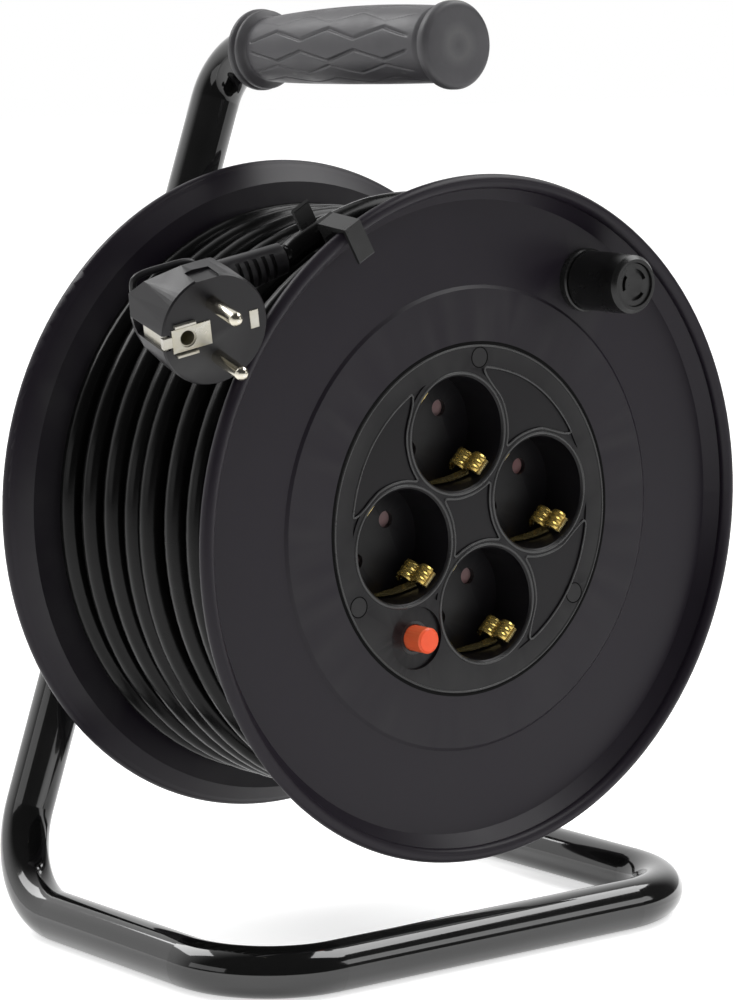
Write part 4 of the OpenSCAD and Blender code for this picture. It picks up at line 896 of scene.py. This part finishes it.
loop = tube("pull_loop", on_drum(on_plug(np.vstack([loop_line, loop_line[:2]]))), 1.25 * MM, 12)
loop.data.materials.append(finishes["plug_plastic"])
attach(loop, "drum")
print("plug:", len(plug.data.polygons), "faces before its soft edges")

# %% [markdown]
# ## The plug's face
# Round the earth socket of the plug lies a folded plate: a strip from the plug's side with a round
# hole, and two folds that stand up above and below it. It is cut from sheet, so it is built as flat
# bars with a small chamfer, and the hole is a ring of points joined to the plate's outline.
# %% Plate on the plug
HOLE_X, HOLE_R = -10, 3.0


def plate_with_hole(x0, x1, y0, y1, low, high, points=48):
    """Flat plate round a hole: the outline is where a ray from the hole's middle meets the rectangle.
    Rings run from the hole's lower edge up, out, and down, and close on the first."""
    edge = np.array([(x1, y0), (x1, y1), (x0, y1), (x0, y0)])
    corner = np.arctan2(edge[:, 1], edge[:, 0] - HOLE_X)
    a = np.sort(np.concatenate([np.linspace(-np.pi, np.pi, points - 4, endpoint=False) + 0.01, corner]))
    c, s = np.cos(a), np.sin(a)
    reach = np.minimum(np.where(c > 0, x1 - HOLE_X, x0 - HOLE_X) / np.where(np.abs(c) < 1e-6, 1e-6, c),
                       np.where(s > 0, y1, y0) / np.where(np.abs(s) < 1e-6, 1e-6, s))
    inner = np.stack([HOLE_X + HOLE_R * c, HOLE_R * s], -1)
    outer = np.stack([HOLE_X + reach * c, reach * s], -1)
    rings = [(inner, low), (inner, high), (outer * 0.99 + np.array([HOLE_X, 0]) * 0.01, high),
             (outer, high - 0.1), (outer, low)]
    grid = np.stack([np.column_stack([line, np.full(points, z)]) for line, z in rings])
    faces = grid_faces(len(rings) + 1, points) % (len(rings) * points)
    return grid.reshape(-1, 3), faces[:, ::-1]


def bar(x0, x1, y0, y1, z0, z1, cut=0.15):
    """A bar with chamfered top edges: rings of four corners from the middle of its foot, out to the
    sides, up, over the chamfer, and in to the middle of its top."""
    corners = np.array([(x0, y0), (x1, y0), (x1, y1), (x0, y1)], float)
    middle = corners.mean(0)
    small = middle + (corners - middle) * (1 - 2 * cut / np.abs(corners - middle).clip(0.01) / 2)
    levels = [(middle[None].repeat(4, 0), z0), (corners, z0), (corners, z1 - cut), (small, z1),
              (middle[None].repeat(4, 0), z1)]
    grid = np.stack([np.column_stack([line, np.full(4, z)]) for line, z in levels])
    return grid.reshape(-1, 3), grid_faces(len(levels), 4)


parts = [plate_with_hole(-15.6, -1.6, -4.1, 4.1, -0.3, 0.6), bar(-14.6, -7, 4.6, 5.6, -0.3, 1.7),
         bar(-14.6, -7, -5.6, -4.6, -0.3, 1.7), bar(-18.8, -15, -1.9, 1.9, -1.5, 0.5),
         bar(12.6, 15.8, -3.2, 3.2, -0.3, 0.5)]
offsets = np.cumsum([0] + [len(p) for p, _ in parts])
plate_faces = [tuple(f) for (_, fs), o in zip(parts, offsets) for f in (fs + o).tolist()]
plug_plate = add_mesh("plug_plate", on_drum(on_plug(np.vstack([p for p, _ in parts]))), plate_faces,
                      smooth=False)
plug_plate.data.materials.append(finishes["tinned_brass"])
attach(plug_plate, "drum")
print("plug plate:", len(plug_plate.data.polygons), "faces")

# %% [markdown]
# ## The cord's facts
# The cable is one free cord: it leaves the core through the inlet, lies coiled on the drum for its real
# length, and carries the plug with everything on it. Here the inlet's place on the drum is worked out.
inlet = on_drum(polar(INLET_TURN, CORE_R, INLET_Y))

# %% [markdown]
# ## Dressing the construction
# On the real reel the frame is painted once it is bent and welded, the mouldings are coloured right
# through, and the screws and washers are plated. Each node keeps its shape and takes the finish of
# its slot in the record, so that looks and construction stay in step and no list is kept twice.
# Only the plug's contacts differ: their brass is tinned.
# %% Finishes on the nodes
for part in frame["record"]["subparts"]:
    piece = nodes[part["node"]]
    piece.data.materials.clear()
    piece.data.materials.append(finishes[part["material_slot"]])
nodes["plug_earth_contacts"].data.materials[0] = finishes["tinned_brass"]
cable.data.materials.append(finishes["cable_sheath"])
print("dressed", len(nodes), "nodes")
